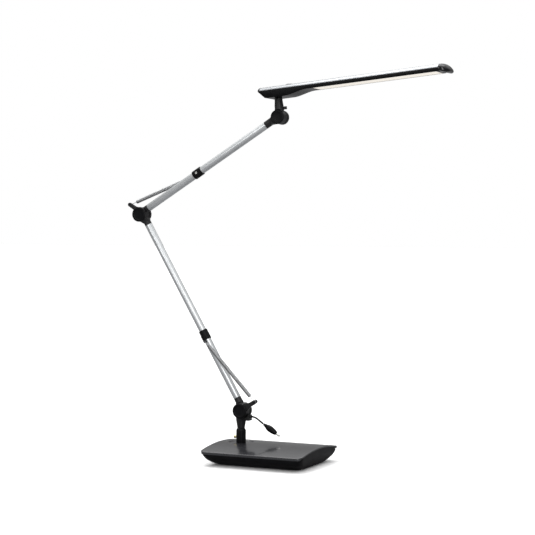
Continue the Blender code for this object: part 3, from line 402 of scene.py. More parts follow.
def box(name, size, place, rounding=0.0):
    """A box centred on its placement."""
    x, y, z = (side / 2 for side in size)
    return plate(name, [(-x, -y), (x, -y), (x, y), (-x, y)], -z, z, place, rounding)


def apply_modifiers(piece):
    """Bake a piece's modifiers into its mesh."""
    bpy.context.view_layer.update()
    evaluated = piece.evaluated_get(bpy.context.evaluated_depsgraph_get())
    data = bpy.data.meshes.new_from_object(evaluated)
    piece.modifiers.clear()
    old = piece.data
    piece.data = data
    bpy.data.meshes.remove(old)
    return piece


def crisp(piece, angle):
    """Shade a piece smoothly, with an edge wherever its faces turn by more than an angle."""
    piece.data.shade_smooth()
    piece.data.set_sharp_from_angle(angle=math.radians(angle))
    return piece


def rounded(piece, width, segments=3, angle=35):
    """Round a piece's sharp edges."""
    bevel = piece.modifiers.new("edges", "BEVEL")
    bevel.width = width
    bevel.segments = segments
    bevel.limit_method = "ANGLE"
    bevel.angle_limit = math.radians(angle)
    bevel.harden_normals = False
    return crisp(apply_modifiers(piece), 50)


def combine(piece, tools, operation):
    """Apply exact Booleans and remove their tools."""
    for tool in tools:
        boolean = piece.modifiers.new(tool.name, "BOOLEAN")
        boolean.operation = operation
        boolean.solver = "EXACT"
        boolean.object = tool
    apply_modifiers(piece)
    for tool in tools:
        bpy.data.objects.remove(tool)
    return piece


def cut(piece, *tools):
    """Subtract tools from a piece."""
    return combine(piece, tools, "DIFFERENCE")


def join(piece, *tools):
    """Unite tools with a piece."""
    return combine(piece, tools, "UNION")


def rod(name, radius, low, high, place, steps=64):
    """A round bar along Z."""
    return plate(name, circle(0, 0, radius, steps), low, high, place)


def screw_blank(name, place, head, thread, outside, inside, tip, rounding):
    """A turned screw: its head's and thread's radii, then the heights of the head's faces and of the tip."""
    profile = [(0, outside), (head, outside), (head, inside), (thread, inside), (thread, tip), (0, tip)]
    return turned(name, profile, place, steps=48, rounding=rounding)


def cast(piece, voxel=0.32 * MM, smoothing=4, ratio=0.35):
    """Melt a piece into one casting: every edge and inner corner gets a small radius."""
    remesh = piece.modifiers.new("skin", "REMESH")
    remesh.mode = "VOXEL"
    remesh.voxel_size = voxel
    smooth = piece.modifiers.new("radius", "SMOOTH")
    smooth.factor = 0.5
    smooth.iterations = smoothing
    fewer = piece.modifiers.new("fewer", "DECIMATE")
    fewer.ratio = ratio
    apply_modifiers(piece)
    piece.data.shade_smooth()
    return piece


def sweep(name, points, radius, place, sides=8):
    """A round wire through points, without twist."""
    points = [Vector(point) for point in points]
    tangents = []
    for i in range(len(points)):
        ahead = points[min(i + 1, len(points) - 1)] - points[max(i - 1, 0)]
        tangents.append(ahead.normalized())
    normal = tangents[0].orthogonal().normalized()
    loops = []
    for point, tangent in zip(points, tangents):
        normal = (normal - tangent * normal.dot(tangent)).normalized()
        other = tangent.cross(normal)
        loops.append([point + radius * (normal * math.cos(a) + other * math.sin(a))
                      for a in (2 * math.pi * k / sides for k in range(sides))])
    return loft(name, loops, place, sharp=60)


def show(piece, *nodes, rides=True):
    """Give a finished piece its look, slot and body, and let it stand for its CAD nodes."""
    slot = SLOT_OF[nodes[0]]
    piece.data.materials.clear()
    piece.data.materials.append(SLOT_LOOKS[slot])
    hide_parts(*nodes)
    if rides:
        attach(piece, BODY_OF[nodes[0]])


# ---- base ----
def cover_height(y):
    """Height of the cover's top surface at a distance y from the base's long axis."""
    return BASE_EDGE + BASE_CREST * (1 - (2 * y / BASE_DEPTH) ** 2)


def outline_normals(outline):
    """Outward normals of a counter-clockwise outline."""
    normals = []
    for before, after in zip(outline[-1:] + outline[:-1], outline[1:] + outline[:1]):
        step = (after - before).normalized()
        normals.append(Vector((step.y, -step.x)))
    return normals


def base_cover():
    """The arched cover, from the hole's edge over the dish and the skin to the lip and back below."""
    hole, brim = SHANK_RADIUS + GAP, DISH_RADIUS + 3 * MM
    skin_start = brim + 0.7 * MM
    skin_rings, wall_rings = 28, 8
    round_over, chamfer = mm(1.1, 0.3)
    centre = Vector((MAST_AT.x, MAST_AT.y))
    outline = [Vector(point) for point in rounded_rectangle(BASE_LENGTH, BASE_DEPTH, BASE_CORNER)]
    inner = [Vector(point) for point in rounded_rectangle(
        BASE_LENGTH - 2 * COVER_WALL, BASE_DEPTH - 2 * COVER_WALL, BASE_CORNER - COVER_WALL)]
    rays = [(point - centre).normalized() for point in outline]
    edge = list(zip(outline, outline_normals(outline)))

    def level(radius, height):
        """A level circle about the mast."""
        return [(*(centre + ray * radius), height) for ray in rays]

    def under_top(points, sink=0.0):
        """Points at a depth below the arched top."""
        return [(p.x, p.y, cover_height(p.y) - sink) for p in points]

    def arched(radius, sink=0.0):
        """A circle about the mast, at a depth below the arched top."""
        return under_top([centre + ray * radius for ray in rays], sink)

    def blended(radius, target, t, sink=0.0):
        """A loop part of the way from a circle about the mast to a target outline."""
        mixed = [centre + (point - centre).normalized() * radius * (1 - t) + (point - centre) * t
                 for point in target]
        return under_top(mixed, sink)

    def edge_bottom(point):
        """The lower edge of the cover: a lip along the sides, only a wall's thickness at the ends."""
        lip = BASE_EDGE - COVER_LIP
        side = smoothstep(abs(point.y), BASE_DEPTH / 2 - 9 * MM, BASE_DEPTH / 2 - 1 * MM)
        return lip * side + (cover_height(point.y) - COVER_WALL) * (1 - side)

    loops = [level(hole, PLUG_BOTTOM), level(hole, DISH_FLOOR - chamfer), level(hole + chamfer, DISH_FLOOR),
             level(brim - 2.2 * MM, DISH_FLOOR), level(brim - 1.8 * MM, DISH_FLOOR + 0.1 * MM),
             level(brim - 1.6 * MM, DISH_FLOOR + 0.4 * MM), arched(brim - 1.1 * MM, 0.6 * MM),
             arched(brim - 0.7 * MM, 0.2 * MM), arched(brim, 0.05 * MM), arched(skin_start)]
    loops += [blended(skin_start, outline, i / skin_rings) for i in range(1, skin_rings)]
    for angle in range(0, 91, 18):
        t = math.radians(angle)
        inset, drop = round_over * (1 - math.sin(t)), round_over * (1 - math.cos(t))
        loops.append([(p.x - n.x * inset, p.y - n.y * inset, cover_height(p.y) - drop) for p, n in edge])
    loops.append([(p.x, p.y, edge_bottom(p) + chamfer) for p in outline])
    loops.append([(p.x - n.x * chamfer, p.y - n.y * chamfer, edge_bottom(p)) for p, n in edge])
    loops.append([(p.x, p.y, edge_bottom(q)) for p, q in zip(inner, outline)])
    loops.append(under_top(inner, COVER_WALL + 0.05 * MM))
    loops += [blended(brim, inner, 1 - i / wall_rings, COVER_WALL) for i in range(1, wall_rings)]
    loops += [arched(brim, COVER_WALL), level(brim, PLUG_BOTTOM)]
    show(loft("base_cover_shell", loops, UPRIGHT, closed=True, sharp=40), "base_cover")


def base_tray():
    """The tray: its sides swell outwards from a flat foot, and its ends rise under the cover."""
    rim, rim_half = BASE_EDGE - COVER_LIP - GAP, BASE_DEPTH / 2 - 1 * MM
    end_at = [(0.0, 80 * MM), mm(7.5, 87.4), mm(15.5, 91.6), mm(18.2, 92)]
    steps, swell, foot_corner = 16, 1.33, 6 * MM
    tongue, tongue_end = BASE_DEPTH / 2 - COVER_WALL - GAP, end_at[-1][1]

    def end_half(rise):
        """Half the tray's length at a height above its foot."""
        for (low, start), (high, end) in zip(end_at, end_at[1:]):
            if rise <= high:
                return start + (end - start) * smoothstep(rise, low - 4 * MM, high + 1 * MM)
        return tongue_end

    def under_cover(outline):
        """A loop just below the arched cover."""
        return [(x, y, cover_height(y) - COVER_WALL - 0.35 * MM) for x, y in outline]

    loops = []
    for i in range(steps + 1):
        t = math.radians(90 * (1 - i / steps))
        across = FOOT_HALF + (rim_half - FOOT_HALF) * max(0.0, math.cos(t)) ** swell
        rise = (rim - TRAY_FOOT) * (1 - math.sin(t) ** swell)
        corner = BASE_CORNER + foot_corner * (1 - i / steps)
        loops.append([(x, y, TRAY_FOOT + rise)
                      for x, y in rounded_rectangle(2 * end_half(rise), 2 * across, corner)])
    wall = rounded_rectangle(2 * tongue_end, 2 * tongue, BASE_CORNER)
    inner = rounded_rectangle(2 * (tongue_end - TRAY_WALL), 2 * (tongue - TRAY_WALL), BASE_CORNER - TRAY_WALL)
    bottom = rounded_rectangle(150 * MM, 104 * MM, BASE_CORNER - TRAY_WALL)
    loops += [[(x, y, rim) for x, y in wall], under_cover(wall), under_cover(inner),
              [(x, y, TRAY_FOOT + TRAY_WALL) for x, y in bottom]]
    show(loft("base_tray_shell", loops, UPRIGHT), "base_tray")


def base_pad():
    """The soft pad under the tray."""
    pad = plate("base_pad_sheet", rounded_rectangle(152 * MM, 102 * MM, 8 * MM), 0, TRAY_FOOT - GAP, UPRIGHT,
                0.25 * MM)
    show(pad, "base_pad")


def mast_sleeve():
    """The fluted sleeve with a chamfered top, and the brass screw in its side."""
    top, foot, end, bore = SLEEVE_TOP, DISH_FLOOR + GAP, 16.6 * MM, PIN_RADIUS + GAP
    flute_radius, flute_depth = mm(1.3, 0.5)
    profile = [(bore, top), (SLEEVE_RADIUS - 1.8 * MM, top), (SLEEVE_RADIUS, top - 3.4 * MM),
               (SLEEVE_RADIUS, foot), (SHANK_RADIUS, foot), (SHANK_RADIUS, end), (bore, end)]
    body = turned("mast_sleeve_fluted", profile, MAST, closed=True, steps=144, rounding=0.4 * MM)
    axes = circle(0, 0, SLEEVE_RADIUS + flute_radius - flute_depth, FLUTES)
    grooves = [rod(f"flute_{i}", flute_radius, foot + 2 * MM, top + 1 * MM, MAST @ shift(x, y), 24)
               for i, (x, y) in enumerate(axes)]
    side = MAST @ shift(0, 0, 40 * MM) @ turn(-90, "Y")
    cut(body, *grooves, rod("set_screw_hole", 1.8 * MM, 0, 20 * MM, side, 32))
    show(crisp(body, 30), "mast_sleeve")
    outside = 13.5 * MM
    screw = screw_blank("sleeve_set_screw_slotted", side, 2.4 * MM, 1.5 * MM, outside, 8.7 * MM, 4.9 * MM,
                        0.35 * MM)
    cut(screw, box("slot", mm(0.7, 6, 2), side @ shift(0, 0, outside + 0.2 * MM)))
    show(screw, "sleeve_set_screw")


# ---- hinges ----
def yoke(cheek, neck, place):
    """The throat of a fork: from a rectangle near the hinge to the round top of its neck."""
    radius, distance, offset = neck
    bm = bmesh.new()
    for x in (-0.6 * cheek, 0.6 * cheek):
        for y in (0.4 * MM - CHEEK_OUTER, CHEEK_OUTER - 0.4 * MM):
            bm.verts.new((x, y, -0.6 * cheek))
    for x, y in circle(offset, 0, radius - 0.1 * MM, 48):
        bm.verts.new((x, y, -distance))
    bmesh.ops.convex_hull(bm, input=bm.verts)
    return piece_from("yoke", bm, place)


def ear(cheek, side, place):
    """The lever that holds a spring; it tapers from a cheek to a round tip."""
    tip, root = mm(3.4, 7.0)
    outline = [(0, -root), (cheek * 0.95, -root * 0.95), (EAR_REACH * 0.62, -tip * 1.05)]
    outline += arc(EAR_REACH, 0, tip, -80, 80, 20)
    outline += [(EAR_REACH * 0.62, tip * 1.15), (cheek * 1.02, root), (0, root)]
    flat = place @ FRONT @ turn(90 - EAR_LEAN if side < 0 else 90 + EAR_LEAN, "Z")
    low, high = sorted((-side * (CHEEK_INNER + 0.2 * MM), -side * (CHEEK_OUTER - 0.1 * MM)))
    lever = plate("ear", outline, low, high, flat)
    return cut(lever, rod("ear_hole", 1.5 * MM, -LONG, LONG, flat @ shift(EAR_REACH), 32))


def fork(name, node, place, cheek, neck, below, side, lean, extras=(), bores=()):
    """The fixed half of a hinge as one casting: cheeks, throat, neck and spring ear."""
    body = plate(name, circle(0, 0, cheek, 128), -CHEEK_OUTER, CHEEK_OUTER, place @ FRONT)
    down = place @ turn(lean, "Y")
    parts = [yoke(cheek, neck, down), turned("neck_below", below, down @ shift(neck[2]), rounding=0.2 * MM)]
    if side:
        parts.append(ear(cheek, side, place))
    join(body, *parts, *extras)
    hinge = place @ FRONT
    cut(body, rod("slot", cheek + 0.6 * MM, -CHEEK_INNER, CHEEK_INNER, hinge, 128),
        rod("pocket", 5.2 * MM, CHEEK_OUTER - POCKET_DEPTH, LONG, hinge),
        rod("bore", BOLT_RADIUS + GAP, -LONG, LONG, hinge), *bores)
    show(cast(body), node)


def knuckle(name, node, place, radius, profile, offset, web_half, extras=()):
    """The turning half of a hinge as one casting: a disc, and a turned shank on a web."""
    body = plate(name, circle(0, 0, radius, 128), -KNUCKLE_HALF, KNUCKLE_HALF, place @ FRONT)
    top = profile[-1][1] + 2 * MM
    web = [(-web_half, 0), (web_half, 0), (offset + web_half, top), (offset - web_half, top)]
    join(body, plate("web", web, -KNUCKLE_HALF, KNUCKLE_HALF, place @ FRONT),
         turned("shank", profile, place @ shift(offset)), *extras)
    cut(body, rod("bore", BOLT_RADIUS + GAP, -LONG, LONG, place @ FRONT))
    show(cast(body), node)


def upper_plug(start, tube_start):
    """The profile of a shank that fills a tube from below."""
    top, shoulder = tube_start + PLUG_DEPTH, tube_start - GAP
    return [(0, top), (PLUG_RADIUS - 0.8 * MM, top), (PLUG_RADIUS, top - 1.5 * MM), (PLUG_RADIUS, shoulder),
            (TUBE_RADIUS, shoulder), (TUBE_RADIUS, start), (0, start)]


def lower_plug(start, tube_end):
    """The profile of a neck that fills a tube from above; both distances are below the hinge."""
    low = tube_end + PLUG_DEPTH
    return [(0, -start), (TUBE_RADIUS, -start), (TUBE_RADIUS, GAP - tube_end), (PLUG_RADIUS, GAP - tube_end),
            (PLUG_RADIUS, 1.5 * MM - low), (PLUG_RADIUS - 0.8 * MM, -low), (0, -low)]


def hinge_caps(prefix, place, cheek):
    """The two dished caps that close a hinge."""
    inner, dish, edge = CHEEK_OUTER + GAP, CAP_OUTER - 0.8 * MM, CAP_OUTER - 0.9 * MM
    profile = [(0, edge), (cheek * 0.66, dish), (cheek * 0.72, CAP_OUTER), (cheek * 0.9, CAP_OUTER),
               (cheek, edge), (cheek, inner), (0, inner)]
    for side, facing in (("front", FRONT), ("rear", turn(-90, "X"))):
        name = f"{prefix}_cap_{side}"
        show(turned(name + "_disc", profile, place @ facing, steps=128, rounding=0.4 * MM), name)


# ---- arms ----
def arm_tube(name, node, place, span, offset):
    """A drawn tube."""
    start, end = span
    profile = [(TUBE_BORE, start), (TUBE_RADIUS, start), (TUBE_RADIUS, end), (TUBE_BORE, end)]
    show(turned(name, profile, place @ shift(offset), closed=True, steps=96, rounding=0.3 * MM), node)


def collar(name, node, place, offset, centre, block, tongue, side):
    """A clamped collar with its spring tongue, and its clamp screw."""
    at = place @ shift(offset, 0, centre)
    inner, outer, half, chamfer = TUBE_RADIUS + GAP, 7.75 * MM, 9 * MM, 0.6 * MM
    width = 5.6 * MM
    profile = [(inner, half), (outer - chamfer, half), (outer, half - chamfer), (outer, chamfer - half),
               (outer - chamfer, -half), (inner, -half)]
    body = turned(name, profile, at, closed=True)
    low, high = block
    foot = box("block", (width, 6 * MM, high - low), at @ shift(0, side * 10 * MM, (low + high) / 2))
    low, high = tongue
    leaf = plate("tongue", rounded_rectangle(width, high - low, 1.9 * MM), -1.2 * MM, 1.2 * MM,
                 at @ shift(0, side * SPRING_SIDE, (low + high) / 2) @ FRONT)
    join(body, foot, leaf)
    hole = at @ shift(0, side * SPRING_SIDE, SPRING_ANCHOR - centre) @ FRONT
    seat = at @ turn(90 * side, "X")
    cut(body, rod("hook_hole", 1.3 * MM, -4 * MM, 4 * MM, hole, 32),
        rod("screw_hole", 1.6 * MM, 6.5 * MM, 9 * MM, seat, 32))
    show(cast(body, voxel=0.25 * MM, smoothing=3), node)
    screw = screw_blank(name + "_screw", seat, 2.1 * MM, 1.25 * MM, 8.6 * MM, 8.1 * MM, 6.7 * MM, 0.2 * MM)
    cut(screw, plate("socket", circle(0, 0, 0.9 * MM, 6), 7.9 * MM, 9 * MM, seat))
    show(screw, node + "_screw")


def spring(prefix, body_place, arm_place, offset, side):
    """A close-wound extension spring with its two hooks, in one length of wire, and its screw."""
    lean = math.radians(EAR_LEAN)
    eye = Vector((-side * EAR_REACH * math.sin(lean), 0, EAR_REACH * math.cos(lean)))
    screw_at = body_place @ (eye + Vector((0, side * SPRING_SIDE, 0)))
    start = arm_place @ Vector((offset, side * SPRING_SIDE, SPRING_ANCHOR))
    length = (screw_at - start).length
    place = towards(start, screw_at)
    into = place.to_3x3().inverted()
    across, flat = into @ Vector((0, 1, 0)), into @ Vector((1, 0, 0))
    for direction in (across, flat):
        direction.z = 0
        direction.normalize()
    coil_start, coil_end = 9 * MM, length - 12.5 * MM
    radius, lead, shank = COIL_RADIUS - SPRING_WIRE, 1.4 * MM, 2 * HOOK_RADIUS + 1.2 * MM
    turns, per_turn = int((coil_end - coil_start) / (2.25 * SPRING_WIRE)), 16
    steps, growing = turns * per_turn, 6
    ring = arc(0, HOOK_RADIUS, HOOK_RADIUS, -220, 90, 28)
    points = [across * x + Vector((0, 0, y)) for x, y in ring]
    points += [Vector((0, 0, shank)), Vector((0, 0, coil_start - lead))]
    for i in range(steps + 1):
        angle = 2 * math.pi * i / per_turn
        grown = radius * min(1, (i + 1) / growing, (steps + 1 - i) / growing)
        points.append(Vector((grown * math.cos(angle), grown * math.sin(angle),
                              coil_start + (coil_end - coil_start) * i / steps)))
    far = length + HOOK_RADIUS
    points += [Vector((0, 0, coil_end + lead)), Vector((0, 0, far - shank))]
    points += [flat * x + Vector((0, 0, far - y)) for x, y in ring[::-1]]
    wire = sweep(prefix + "_coil", points, SPRING_WIRE, place)
    show(wire, prefix, prefix + "_hook", rides=False)
    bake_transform(wire)
    seat, outside = body_place @ shift(*eye) @ turn(-90 * side, "X"), 14.5 * MM
    pin = screw_blank(prefix + "_pin", seat, 2.4 * MM, 1.2 * MM, outside, 13.4 * MM, 6.2 * MM, 0.35 * MM)
    slot, slit = mm(3, 0.6)
    cut(pin, *[box(name, (x, y, 1 * MM), seat @ shift(0, 0, outside))
               for name, x, y in (("cross_a", slit, slot), ("cross_b", slot, slit))])
    show(pin, prefix + "_screw")


# ---- cord ----
def smooth_curve(route, steps=4):
    """Points on a Catmull-Rom curve through a route."""
    dense = []
    for i, (here, there) in enumerate(zip(route, route[1:])):
        before, after = route[max(i - 1, 0)], route[min(i + 2, len(route) - 1)]
        for step in range(steps):
            t = step / steps
            dense.append(0.5 * ((2 * here) + (there - before) * t
                                + (2 * before - 5 * here + 4 * there - after) * t * t
                                + (3 * here - before - 3 * there + after) * t ** 3))
    return dense + [route[-1]]


def connector(place):
    """The moulded connector with its ribbed strain relief, and its hollow tip."""
    end, ribs, rib_pitch, groove = 28 * MM, 4, 1.7 * MM, 0.35 * MM
    relief = [(2.0 * MM, 0.0)]
    for i in range(ribs):
        low, size = 0.7 * MM + rib_pitch * i, (2.15 + 0.5 * i) * MM
        relief += [(size, low), (size, low + 1.0 * MM), (size - groove, low + 1.15 * MM),
                   (size - groove, low + 1.6 * MM)]
    profile = [(0, 0)] + relief + [mm(4.3, 7.6), mm(5.25, 11.5), mm(5.4, 16),
                                   mm(4.9, 21), (3.6 * MM, end - 1.4 * MM), (2.6 * MM, end), (0, end)]
    body = turned("connector_body_moulded", profile, place, steps=96, rounding=0.9 * MM)
    grips = [box(f"grip_{side}_{i}", mm(12, 0.8, 0.7),
                 place @ shift(0, side * 5.3 * MM, (12 + 2 * i) * MM)) for side in (-1, 1) for i in range(4)]
    show(cut(body, *grips), "connector_body")
    bore, barrel, shoulder, top = 0.9 * MM, 1.8 * MM, end + 4 * MM, end + 7 * MM
    low = end + GAP
    profile = [(0, shoulder), (bore, shoulder), (bore, top), (barrel, top), (barrel, low), (0, low)]
    tip = turned("connector_tip_barrel", profile, place, steps=64, rounding=0.15 * MM)
    show(tip, "connector_tip")
    return [body, tip]


def pigtail():
    """The short cord on the mast, its gland, and the connector on its end."""
    route = [MAST @ (MM * Vector(point)) for point in CORD_ROUTE]
    dense = smooth_curve(route)
    curve = bpy.data.curves.new("pigtail_cord_jacket", "CURVE")
    curve.dimensions = "3D"
    curve.bevel_depth = CORD_RADIUS
    curve.bevel_resolution = 6
    curve.use_fill_caps = True
    spline = curve.splines.new("POLY")
    spline.points.add(len(dense) - 1)
    for point, position in zip(spline.points, dense):
        point.co = (*position, 1)
    cord = added("pigtail_cord_jacket", curve)
    show(cord, "pigtail_cord")

    gland_at = MAST @ shift(OUTLET_FACE + GAP, *CORD_EXIT) @ turn(90, "Y")
    bore, rim, face = CORD_RADIUS + 0.5 * MM, 3.0 * MM, 2.2 * MM
    profile = [(bore, face), (2.5 * MM, face), mm(2.6, 1.5), (rim, 0.8 * MM), (rim, 0), (bore, 0)]
    gland = turned("cable_gland_ring", profile, gland_at, closed=True, steps=64, rounding=0.3 * MM)
    show(gland, "cable_gland")

    start = route[-1] + 1.0 * MM * (route[-1] - route[-2]).normalized()
    end_pieces = connector(towards(start, MAST @ CONNECTOR_NOSE))


# ---- head ----
def underside(at, offset=0.0):
    """Height of the head's underside: deep at the neck, slim along the light."""
    bend_start, bend_end, chamfer_start, chamfer = mm(20, 61, -12, 11.7)
    if at < chamfer_start:
        rear = HEAD_RIM - 1 * MM
        return max(HEAD_DEEP, rear + (1.1 * MM - rear) * min(1, (at - HEAD_REAR) / chamfer)) + offset
    return HEAD_DEEP + (HEAD_SLIM - HEAD_DEEP) * smoothstep(at, bend_start, bend_end) + offset


def trough_section(at, trim):
    """The frame's outline across the head at one station, made smaller by a trim."""
    low, half, edge = underside(at) + trim, HEAD_HALF - trim, 0.3 * MM
    reach = min(1.3 * MM, (HEAD_RIM - underside(at)) * 0.45)
    section = [(half - edge, HEAD_RIM), (half, HEAD_RIM - edge)]
    section += arc(half - reach, low + reach, reach, 0, -90, 5)
    section += [(half * k, low) for k in (0.6, 0.2, -0.2, -0.6)]
    section += arc(reach - half, low + reach, reach, 270, 180, 5)
    section += [(-half, HEAD_RIM - edge), (edge - half, HEAD_RIM)]
    return [(at, y, z) for y, z in section]


def light_opening(clearance, radius):
    """The outline of the light's opening, made smaller all round by a clearance."""
    start, end = LIGHT
    outline = rounded_rectangle(end - start - 2 * clearance, 35 * MM - 2 * clearance, radius, 6)
    return [(x + (start + end) / 2, y) for x, y in outline]


def head_frame():
    """The black frame: a trough with an arched rear wall and an opening for the light."""
    stations = [HEAD_REAR + 0.9 * MM * i for i in range(19)] + [-10 * MM + 2 * MM * i for i in range(38)]
    stations += [70 * MM, 130 * MM, 200 * MM, HEAD_SPLIT - 0.4 * MM, HEAD_SPLIT]
    ends = (stations[0], stations[-1])
    body = loft("head_frame_trough", [trough_section(at, 0.35 * MM if at in ends else 0) for at in stations],
                HEAD, sharp=30)
    low = HEAD_RIM - 1 * MM
    rear = [(HEAD_HALF, low), *half_ellipse(HEAD_HALF, HEAD_RIM, HEAD_CROWN, 60), (-HEAD_HALF, low)]
    join(body, plate("rear_wall", rear, HEAD_REAR, COVER_START - GAP, HEAD @ ACROSS, 0.3 * MM))
    inside, inside_end = HEAD_HALF - HEAD_FLOOR, HEAD_SPLIT - HEAD_FLOOR
    inner = [(-23.5 * MM, LONG), mm(-23.5, 12), mm(-14.5, 2.6), (-12 * MM, HEAD_DEEP + HEAD_FLOOR)]
    inner += [(at, underside(at, HEAD_FLOOR)) for at in (20 * MM + 2.05 * MM * i for i in range(21))]
    inner += [(inside_end, HEAD_SLIM + HEAD_FLOOR), (inside_end, LONG)]
    cut(body, plate("hollow", inner, -inside, inside, HEAD @ FRONT),
        plate("opening", light_opening(0, 1.0 * MM), 4 * MM, 12 * MM, HEAD),
        rod("neck_hole", 4.4 * MM, -1 * MM, 4 * MM, HEAD))
    show(crisp(body, 30), "head_frame")


def head_cover():
    """The arched aluminium cover, a thin sheet with a hole for the button."""
    outer, inner = [half_ellipse(HEAD_HALF - inset, HEAD_RIM + GAP, HEAD_CROWN - GAP - inset, 72)
                    for inset in (0, 1.2 * MM)]
    sheet = plate("head_cover_sheet", outer + inner[::-1], COVER_START, HEAD_SPLIT, HEAD @ ACROSS)
    cut(sheet, rod("button_hole", BUTTON_RADIUS + GAP, HEAD_RIM, 30 * MM, HEAD @ shift(BUTTON_AT)))
    show(rounded(crisp(sheet, 30), 0.2 * MM, 2, 50), "head_cover")


def diffuser():
    """The milky plate in the light's opening."""
    low = HEAD_SLIM + 0.1 * MM
    sheet = plate("diffuser_plate", light_opening(GAP, 0.8 * MM), low, low + 1.2 * MM, HEAD, 0.15 * MM)
    show(sheet, "diffuser")


def end_cap():
    """The glossy end cap: arched across, drooping towards a nose that is round in plan."""
    start, nose, tip_half = HEAD_SPLIT + GAP, 7.8 * MM, 6 * MM
    length, rounding, count = HEAD_TIP - start, 15 * MM, 26
    crown = HEAD_RIM + HEAD_CROWN
    arched_share = (HEAD_RIM - HEAD_SLIM) / (crown - HEAD_SLIM)
    loops = []
    for i in range(count + 1):
        s = math.sin(math.pi / 2 * i / count) if i < count else 1.0
        at = start + length * s
        swell = max(0.0, (at - (HEAD_TIP - rounding)) / rounding)
        half = tip_half + rounding * math.sqrt(max(0.0, 1 - swell * swell))
        top = nose + (crown - nose) * max(0.0, 1 - s ** 2) ** 0.6
        droop = HEAD_SLIM - 2.9 * MM * smoothstep(s, 0, 0.75)
        low = droop + (nose - droop) * (1 - math.sqrt(max(0.0, 1 - s ** 6)))
        if i == count:
            top, low, half = nose + 0.25 * MM, nose - 0.25 * MM, 5.6 * MM
        mid = low + (top - low) * arched_share
        section = half_ellipse(half, mid, top - mid, 24)
        section += [(math.copysign(half * abs(math.cos(t)) ** 0.25, -math.cos(t)),
                     mid - (mid - low) * abs(math.sin(t)) ** 0.45)
                    for t in (math.radians(7.5 * k) for k in range(1, 24))]
        loops.append([(at, y, z) for y, z in section])
    cap = loft("end_cap_shell", loops, HEAD, sharp=40)
    cut(cap, box("hollow", mm(14, 30, 6), HEAD @ shift(start + 2 * MM, 0, 12 * MM)))
    show(crisp(cap, 40), "end_cap")


def button():
    """The push button on the head, with a shallow dish in its top."""
    top, stem, stem_end = HEAD_RIM + HEAD_CROWN + 0.6 * MM, 2 * MM, 16 * MM
    flange, flange_top, flange_low = mm(7.2, 18.6, 17.7)
    profile = [(0, top - 0.45 * MM), (2.5 * MM, top - 0.35 * MM), (4.6 * MM, top),
               (BUTTON_RADIUS - 0.2 * MM, top), (BUTTON_RADIUS, top - 0.3 * MM),
               (BUTTON_RADIUS, flange_top), (flange, flange_top), (flange, flange_low),
               (stem, flange_low), (stem, stem_end), (0, stem_end)]
    cap = turned("switch_button_cap", profile, HEAD @ shift(BUTTON_AT), rounding=0.3 * MM)
    show(cap, "switch_button")


# ---- stage ----
def aim(item, direction):
    """Point a camera or a light along a direction."""
    item.rotation_euler = direction.to_track_quat("-Z", "Y").to_euler()


def camera():
    """The main view: from the front right, a little above the lamp's middle."""
    yaw, pitch = math.radians(25.334), math.radians(1.714)
    data = bpy.data.cameras.new("camera")
    data.lens = 101.2
    data.sensor_width = 36
    data.clip_end = 50
    view = added("camera", data)
    view.location = (1.0882, -2.3073, 0.4094)
    aim(view, Vector((-math.sin(yaw) * math.cos(pitch), math.cos(yaw) * math.cos(pitch), -math.sin(pitch))))
    bpy.context.scene.camera = view


def for_camera(tree, seen, unseen, output):
    """Show the camera one shader, and everything else another."""
    path = tree.nodes.new("ShaderNodeLightPath")
    mix = tree.nodes.new("ShaderNodeMixShader")
    tree.links.new(path.outputs["Is Camera Ray"], mix.inputs["Fac"])
    tree.links.new(unseen, mix.inputs[1])
    tree.links.new(seen, mix.inputs[2])
    tree.links.new(mix.outputs["Shader"], tree.nodes[output].inputs["Surface"])


def floor():
    """A plain pale floor, which looks darker from the lamp than from the camera."""
    look = Look("pale_floor", 0.7)
    look.colours(look.noise(3, 3), [(0.3, (0.93, 0.93, 0.93)), (0.7, (0.95, 0.95, 0.95))])
    look.bump(look.noise(500, 2), 0.1, 0.0001)
    dim = look.nodes.new("ShaderNodeBsdfDiffuse")
    dim.inputs["Color"].default_value = (0.26, 0.26, 0.265, 1)
    for_camera(look.material.node_tree, look.shader.outputs["BSDF"], dim.outputs["BSDF"], "Material Output")
    sheet = plate("floor", rounded_rectangle(40, 40, 1), -0.02, -0.0004, UPRIGHT)
    sheet.data.materials.append(look.material)


def softbox(name, place, target, power, size):
    """A rectangular area light."""
    data = bpy.data.lights.new(name, "AREA")
    data.shape = "RECTANGLE"
    data.size, data.size_y = size
    data.energy = power
    lamp = added(name, data)
    lamp.location = place
    aim(lamp, Vector(target) - Vector(place))


def surround():
    """A white surround that is bright overhead and dim near the horizon, and plain white to the camera."""
    world = bpy.data.worlds.new("surround")
    bpy.context.scene.world = world
    world.use_nodes = True
    nodes, links = world.node_tree.nodes, world.node_tree.links
    background = nodes["Background"]
    direction = nodes.new("ShaderNodeTexCoord").outputs["Generated"]
    height = nodes.new("ShaderNodeSeparateXYZ")
    links.new(direction, height.inputs["Vector"])
    overhead = nodes.new("ShaderNodeMapRange")
    overhead.interpolation_type = "SMOOTHSTEP"
    for socket, value in (("From Min", 0.22), ("From Max", 0.75), ("To Min", 0.27), ("To Max", 1.1)):
        overhead.inputs[socket].default_value = value
    links.new(height.outputs["Z"], overhead.inputs["Value"])
    links.new(overhead.outputs["Result"], background.inputs["Strength"])
    white = nodes.new("ShaderNodeBackground")
    for shader in (background, white):
        shader.inputs["Color"].default_value = (1, 1, 1, 1)
    white.inputs["Strength"].default_value = 1.0
    for_camera(world.node_tree, white.outputs["Background"], background.outputs["Background"], "World Output")
    bpy.context.scene.view_settings.view_transform = "Standard"


